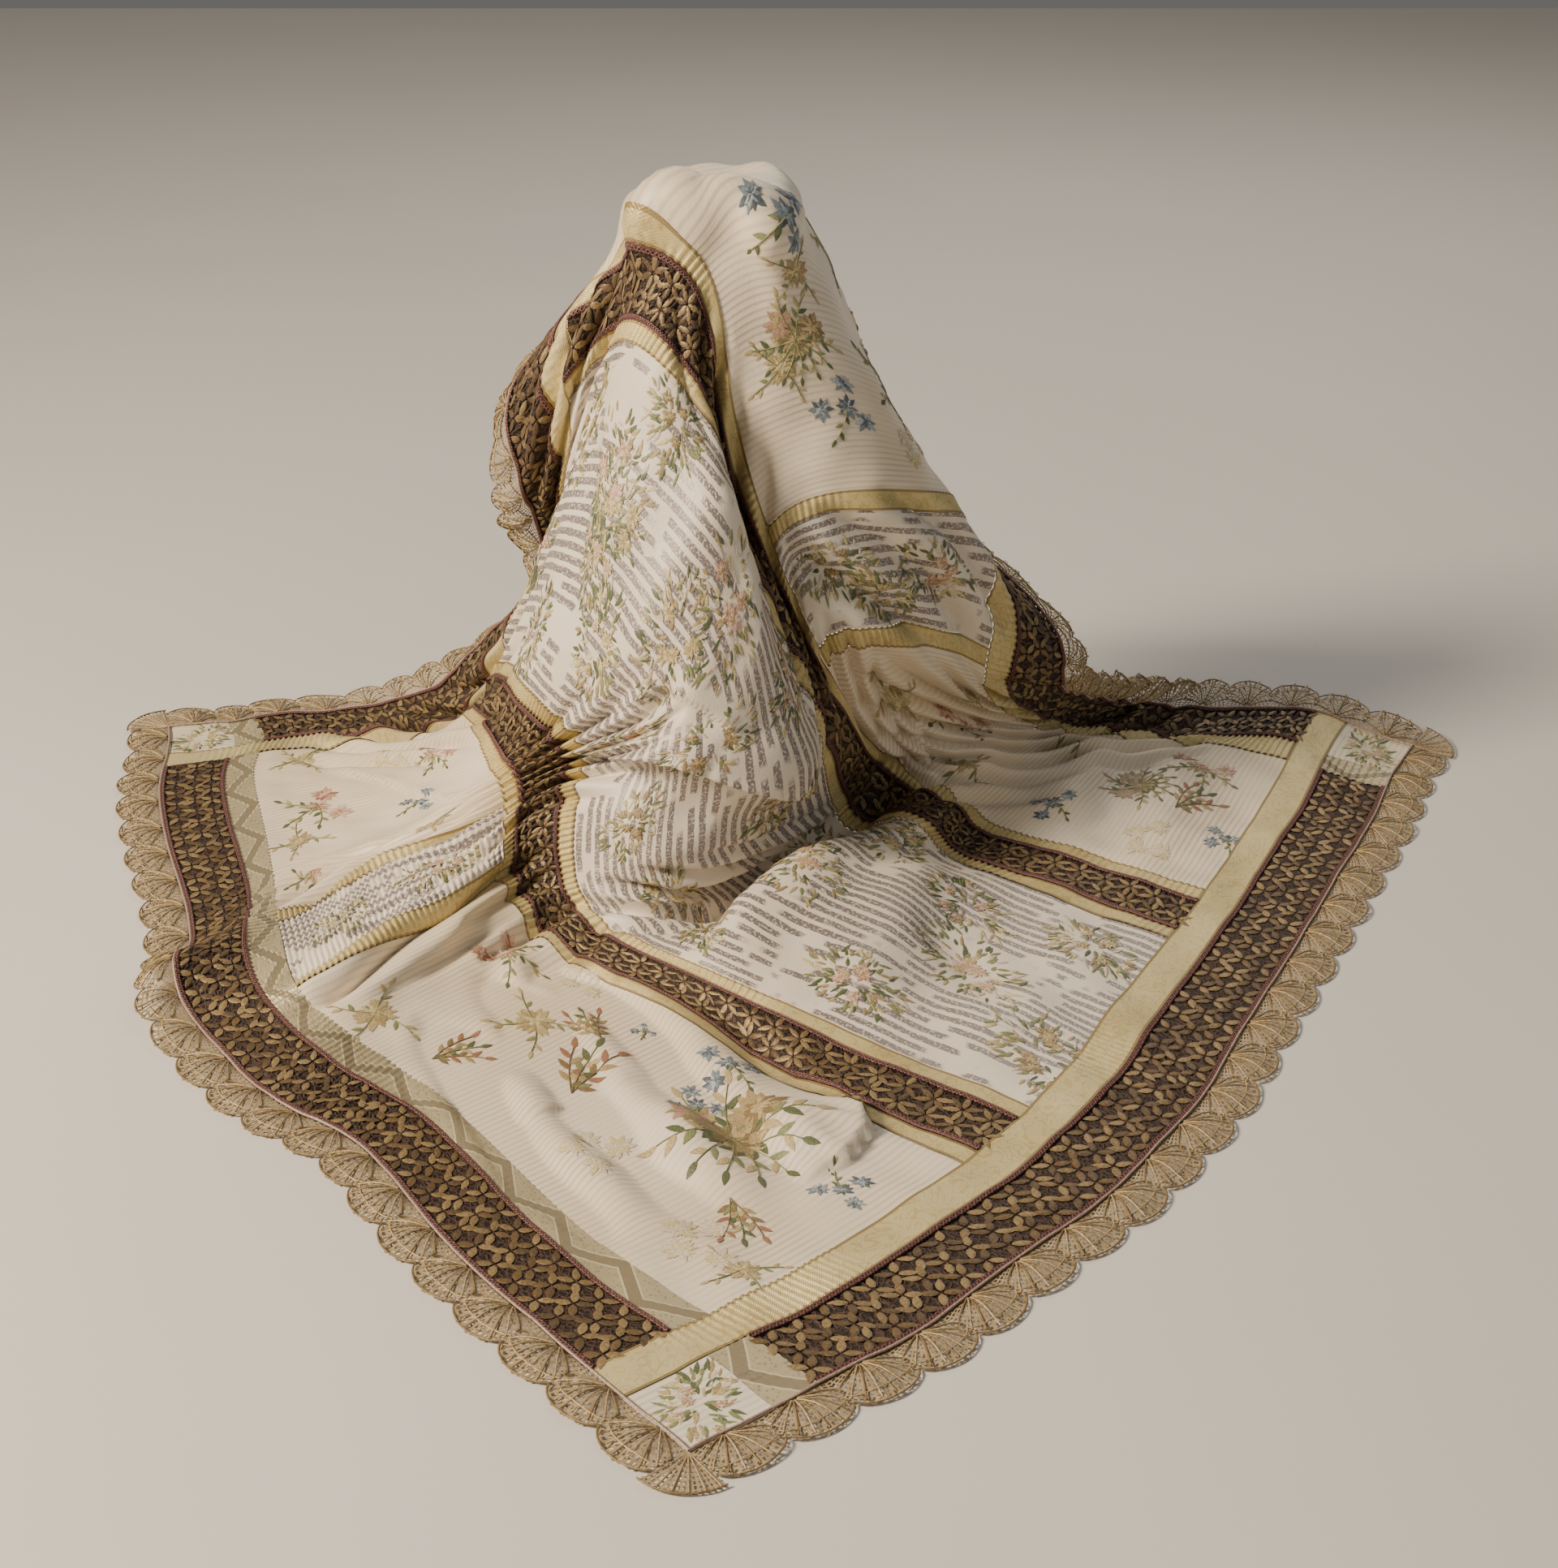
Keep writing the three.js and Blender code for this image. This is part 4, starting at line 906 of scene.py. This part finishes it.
# Woven groups of flowers: kind, u, v, turn in degrees, size.
FLOWERS = (
    ("bouquet", 190, 165, 60, 60), ("blue", 235, 208, 40, 20), ("blue", 198, 200, 10, 17),
    ("blue", 196, 97, 200, 15), ("leaves", 150, 128, -130, 30), ("leaves", 145, 253, 20, 44),
    ("gold", 172, 319, 30, 30), ("leaves", 193, 277, 60, 32), ("blue", 226, 271, 0, 8),
    ("rose", 208, 380, 90, 24), ("gold", 94, 385, 0, 30), ("leaves", 95, 328, -20, 32),
    ("pale", 115, 112, 20, 26), ("gold", 110, 84, 50, 20), ("pale", 120, 200, 0, 26),
    ("pale", 240, 330, 0, 20), ("rose", 112, 724, 20, 24), ("gold", 97, 676, 60, 26),
    ("blue", 190, 690, 0, 17), ("rose", 208, 750, 40, 18), ("gold", 109, 806, 10, 24),
    ("pale", 180, 780, 30, 24), ("gold", 200, 610, 0, 24), ("rose", 110, 600, 0, 22),
    ("blue", 625, 715, 0, 17), ("gold", 631, 690, 30, 18), ("bouquet", 622, 652, 80, 34),
    ("gold", 610, 640, 10, 20), ("blue", 643, 610, 30, 20), ("rose", 700, 640, 20, 24),
    ("gold", 700, 730, 0, 26), ("pale", 700, 590, 0, 22), ("gold", 640, 390, 0, 30),
    ("rose", 690, 340, 40, 26), ("blue", 615, 199, 30, 17), ("blue", 640, 78, 0, 15),
    ("bouquet", 670, 150, 100, 36), ("leaves", 652, 118, -30, 34), ("gold", 720, 230, 20, 26),
    ("gold", 620, 290, 60, 28), ("rose", 715, 120, 0, 22), ("pale", 610, 120, 0, 22),
    ("gold", 735, 390, 0, 22),
)
# Denser groups on the striped brocade: u, v, turn, size.
STRIPE_FLOWERS = (
    (445, 698, 200, 34), (436, 682, 190, 30), (410, 690, 180, 28), (496, 667, 210, 24),
    (451, 589, 200, 32), (409, 612, 190, 30), (346, 568, 180, 28), (415, 520, 200, 30),
    (466, 175, 60, 26), (478, 103, 60, 24), (412, 148, 60, 32), (358, 85, 50, 34), (350, 190, 70, 26),
    (490, 250, 60, 26), (420, 260, 60, 30), (350, 300, 60, 26), (480, 330, 60, 28), (380, 380, 70, 30),
    (470, 430, 60, 26), (360, 460, 60, 26), (490, 520, 200, 26), (370, 660, 190, 26),
    (340, 740, 180, 28), (470, 760, 190, 28), (400, 790, 180, 28), (120, 500, 0, 22), (200, 500, 0, 24),
    (620, 500, 0, 24), (700, 500, 0, 26), (655, 480, 0, 18),
)
PATCH_FLOWERS = tuple((u, v, 45, 19) for u in (23, WIDTH - 23) for v in (23, LENGTH - 23))

flowers = Threads()
for kind, u, v, turn, size in FLOWERS:
    GROUPS[kind](flowers, u, v, np.radians(turn), size)
woven_flowers = flowers.finish("woven_flowers", floss)

# Dyes of the small blossoms in a sprig, taken in turn.
CENTRES = (
    ("coral", "pink", "tan"),
    ("gold", "straw", "tan"),
    ("pink", "gold", "coral"),
    ("tan", "brown", "gold"),
)


def sprig(threads, u, v, turn, size, k):
    """A close cluster of short leaf strokes with three or four small blossoms, longer than wide."""
    count = 100
    a, reach = chance.uniform(0, 6.28, count), np.sqrt(chance.uniform(0.02, 1.0, count)) * size
    long, wide = np.cos(a) * reach * 1.15, np.sin(a) * reach * 0.72
    lean = a + turn + chance.normal(0, 0.5, count)
    names = ("leaf", "moss", "gold", "straw", "leaf", "tan", "pale", "moss")
    shade = np.array([DYES[names[n]] for n in chance.integers(len(names), size=count)])
    at_u = u + long * np.cos(turn) - wide * np.sin(turn)
    at_v = v + long * np.sin(turn) + wide * np.cos(turn)
    length, width = chance.uniform(5, 10, count), chance.uniform(1.6, 2.8, count)
    threads.petals(at_u, at_v, lean, length, width, shade, 0.3, 0.3)
    for b, reach in zip(np.arange(4) * 1.6 + chance.uniform(0, 1.5, 4), chance.uniform(0.1, 0.65, 4)):
        at = beside(u, v, b, size, reach)
        bloom(threads, *at, size * chance.uniform(0.16, 0.24), 6, CENTRES[k % 4], b, 0.5)


def sprig_piece(name, rows):
    threads = Threads()
    for k, (u, v, turn, size) in enumerate(rows):
        sprig(threads, u, v, np.radians(turn), size, k)
    return threads.finish(name, floss)


stripe_sprigs = sprig_piece("stripe_sprigs", STRIPE_FLOWERS)
patch_sprigs = sprig_piece("patch_sprigs", PATCH_FLOWERS)

PURPLE, ROSE_BROWN = linear("#6A4648"), linear("#7C5A50")
BRONZE = np.array([linear(code) for code in ("#85704E", "#725D40", "#96805A", "#62503A")])
# Lace: a plain margin, then rows of leaf stars this far apart; millimetres.
MARGIN, STAR_STEP = 4.5, 17

# Leaf stars and edge cords of every lace strip.
for node, material, (u0, u1), (v0, v1), _, runs in SHEETS:
    if material != bronze_lace_shaded_ground:
        continue
    length, width = (u1 - u0, v1 - v0) if runs == "u" else (v1 - v0, u1 - u0)
    rows, leaves, leaf_width = (2, 6, 3.8) if width == INNER_LACE else (3, 4, 4.6)
    threads = Threads()
    place = lambda along, across: (u0 + across, v0 + along) if runs == "v" else (u0 + along, v0 + across)
    row_step = (width - 2 * MARGIN) / rows
    star_step = length / round(length / STAR_STEP)
    for row in range(rows):
        across = MARGIN + row_step * (row + 0.5)
        along = star_step * (np.arange(round(length / star_step)) + (0.5 if row % 2 else 0.25))
        for k in range(leaves):
            angle = (k + 0.5) * 2 * np.pi / leaves
            reach = min(10.5, row_step * 0.8) * chance.uniform(0.92, 1.06, len(along))
            turn = (angle if runs == "u" else np.pi / 2 - angle) + chance.normal(0, 0.1, len(along))
            u, v = place(along + np.cos(angle) * 1.1, across + np.sin(angle) * 1.1)
            u, v = np.broadcast_to(u, along.shape), np.broadcast_to(v, along.shape)
            shade = BRONZE[chance.integers(len(BRONZE), size=len(along))]
            dome = chance.uniform(0.6, 1.0, len(along))
            threads.petals(u, v, turn, reach, leaf_width, shade, 0.7, dome)
    for side, sign in ((1.4, 1), (width - 1.4, -1)):
        steps = np.linspace(0, length, int(length / 0.9))
        wave = np.sin(steps * 2 * np.pi / 4.4)
        for lean, dye in ((1.0, PURPLE), (-1.0, ROSE_BROWN)):
            threads.cord(*place(steps, side + sign * 0.6 + lean * wave * 1.1), 0.62, dye, 0.7, 4)
        threads.cord(*place(steps[::3], np.full(len(steps[::3]), side - sign * 0.9)), 0.5, PURPLE, 0.8, 4)
    threads.finish(node + "_leaves", bronze_thread)


def fan_depth(distance):
    return FAN_DIP + (FAN_TIP - FAN_DIP) * np.sqrt(np.abs(np.sin(np.pi * distance / SCALLOP)))


def fan_dome(inside, share):
    """How far a fan bulges between its heading and its rim."""
    return FAN_RISE * np.sin(np.pi * inside / SCALLOP) * np.sin(np.pi * np.minimum(share * 1.15, 1))


# Fan edgings: node, length of heading, corners at both ends, place on the flat cloth,
# turning of the faces, ruffle.
EDGINGS = (
    ("front_edging", WIDTH, True, lambda d, out: (d, -out), 1, 0.9),
    ("back_edging", WIDTH, True, lambda d, out: (d, LENGTH + out), -1, 1.6),
    ("left_edging", LENGTH, False, lambda d, out: (-out, d), -1, 1.2),
    ("right_edging", LENGTH, False, lambda d, out: (WIDTH + out, d), 1, 2.6),
)
FAN_RISE, RAYS = 3.0, 15
gold, dim, rose = linear("#C6AF84"), linear("#8D7854"), linear("#B9A294")
for node, length, corners, place, facing, ruffle in EDGINGS:
    points, faces, polar, count = [], [], [], 0
    threads = Threads()
    for fan in range(int(length // SCALLOP)):
        start = fan * SCALLOP
        d, share = np.meshgrid(start + np.linspace(0, SCALLOP, 21), np.linspace(0, 1, 9), indexing="ij")
        edge = fan_depth(np.clip(d, start + 0.01, start + SCALLOP - 0.01))
        out = share * edge
        ripple = ruffle * np.sin((d - start) / SCALLOP * 2 * np.pi * 4) * share
        lift = 0.2 + ripple + fan_dome(d - start, share)
        points.append(np.stack([d, out, lift], -1).reshape(-1, 3))
        side, far = d - start - SCALLOP / 2, out + 1.5
        angle, radius = np.arctan2(side, far), np.hypot(side, far)
        polar.append(np.stack([angle / np.pi * RAYS * 2, radius / 1000], -1).reshape(-1, 2))
        faces.append(grid_faces(*d.shape)[:, ::facing] + count)
        count += d.size
        for ray in np.linspace(-1.15, 1.15, 9):
            reach = np.linspace(2, 24, 6)
            rd, ro = start + SCALLOP / 2 + np.sin(ray) * reach, np.cos(ray) * reach
            rd = np.clip(rd, start + 0.5, start + SCALLOP - 0.5)
            ro = np.minimum(ro, fan_depth(rd) - 0.6)
            dome = fan_dome(rd - start, ro / fan_depth(rd))
            threads.cord(*place(rd, ro), 0.45, gold if round(ray * 10) % 2 else dim, 0.4 + dome, 4)
        rim = start + np.linspace(0.2, SCALLOP - 0.2, 19)
        threads.cord(*place(rim, fan_depth(rim) - 0.3), 0.55, dim, 0.2, 4)
        dome = fan_dome(rim - start, 0.72)
        threads.cord(*place(rim, fan_depth(rim) * 0.72), 0.45, gold, 0.3 + dome, 4)
    if corners:
        for end, sign in ((0, -1), (length, 1)):
            share, angle = np.meshgrid(np.linspace(0, 1, 9), np.linspace(0, np.pi / 2, 13), indexing="ij")
            d, out = end + sign * np.sin(angle) * FAN_TIP * share, np.cos(angle) * FAN_TIP * share
            points.append(np.stack([d, out, np.full(d.shape, 0.2)], -1).reshape(-1, 3))
            polar.append(np.stack([angle / np.pi * RAYS * 2, share * FAN_TIP / 1000], -1).reshape(-1, 2))
            faces.append(grid_faces(*d.shape)[:, :: -facing * sign] + count)
            count += d.size
            for a in np.linspace(0.1, 1.47, 6):
                reach = np.linspace(1, FAN_TIP - 1, 6)
                threads.cord(*place(end + sign * np.sin(a) * reach, np.cos(a) * reach), 0.38, gold, 0.4, 4)
            a = np.linspace(0, np.pi / 2, 14)
            reach = FAN_TIP - 0.4
            threads.cord(*place(end + sign * np.sin(a) * reach, np.cos(a) * reach), 0.55, dim, 0.2, 4)
    line = np.linspace(0, length, int(length / 3))
    threads.cord(*place(line, np.full(len(line), -0.3)), 0.75, rose, 0.6, 5)
    points = np.concatenate(points)
    u, v = place(points[:, 0], points[:, 1])
    laid, faces, polar = surface(u, v, points[:, 2]), np.concatenate(faces), np.concatenate(polar)
    net = make_object(node + "_net", laid, faces, polar, material=fan_thread)
    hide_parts(node)
    rays = threads.finish(node + "_threads", bronze_thread)
    flat_width = FAN_TIP * 2 + length if corners else length
    area = sum(fan_depth(np.linspace(0.01, SCALLOP - 0.01, 200))) / 200 * length / 1e6
    area += 2 * np.pi * FAN_TIP**2 / 4 / 1e6 if corners else 0
    flat = (FAN_TIP / 1000, flat_width / 1000)

# The size each sheet was cut to, worked out in turn for every sheet.
for node, _, (u0, u1), (v0, v1), _, _ in SHEETS:
    flat = ((u1 - u0) / 1000, (v1 - v0) / 1000)

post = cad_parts["display_post"]
post.data.materials.clear()
post.data.materials.append(wood)

# Pale floor, soft studio light and the camera at the photo's viewing angle.
bpy.ops.mesh.primitive_plane_add(size=6, location=(0, 0, 0))
floor = bpy.context.object
floor.name = "floor"
floor.data.materials.append(pale_floor("pale studio floor"))
floor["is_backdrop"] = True


def area_light(name, place, aim, size, power, colour):
    data = bpy.data.lights.new(name, "AREA")
    data.shape, data.size, data.energy, data.color = "DISK", size, power, linear(colour)[:3]
    light = bpy.data.objects.new(name, data)
    bpy.context.scene.collection.objects.link(light)
    gaze = np.array(aim, float) - np.array(place, float)
    back = -gaze / np.linalg.norm(gaze)
    side = np.cross((0, 0, 1), back)
    side /= np.linalg.norm(side)
    turn = np.column_stack([side, np.cross(back, side), back])
    light.matrix_world = Matrix.Translation(place) @ Matrix(turn.tolist()).to_4x4()
    return light


area_light("key softbox", (-1.75, -0.8, 1.5), (0, 0.05, 0.1), 0.65, 98, "#FFECD2")
area_light("fill softbox", (1.9, -1.2, 1.2), (0, 0.1, 0.15), 1.6, 6, "#F4F1EA")
area_light("back softbox", (0.5, 1.8, 1.6), (0, 0.1, 0.2), 1.2, 12, "#FFF6EA")
world = bpy.data.worlds.new("studio")
world.use_nodes = True
world.node_tree.nodes["Background"].inputs[0].default_value = linear("#D6D3CE")
world.node_tree.nodes["Background"].inputs[1].default_value = 0.21
bpy.context.scene.world = world

PITCH = np.radians(25.3)
lens = bpy.data.cameras.new("photo view")
lens.lens, lens.sensor_width = 63.35, 36
camera = bpy.data.objects.new("photo view", lens)
bpy.context.scene.collection.objects.link(camera)
camera.location = SHIFT + np.array([0.028, -1.44, 0.72])
camera.rotation_euler = (np.pi / 2 - PITCH, 0, 0)
bpy.context.scene.camera = camera

size = {"frame": [list(c) for c in frame_bounds], "shown": [list(c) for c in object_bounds()]}
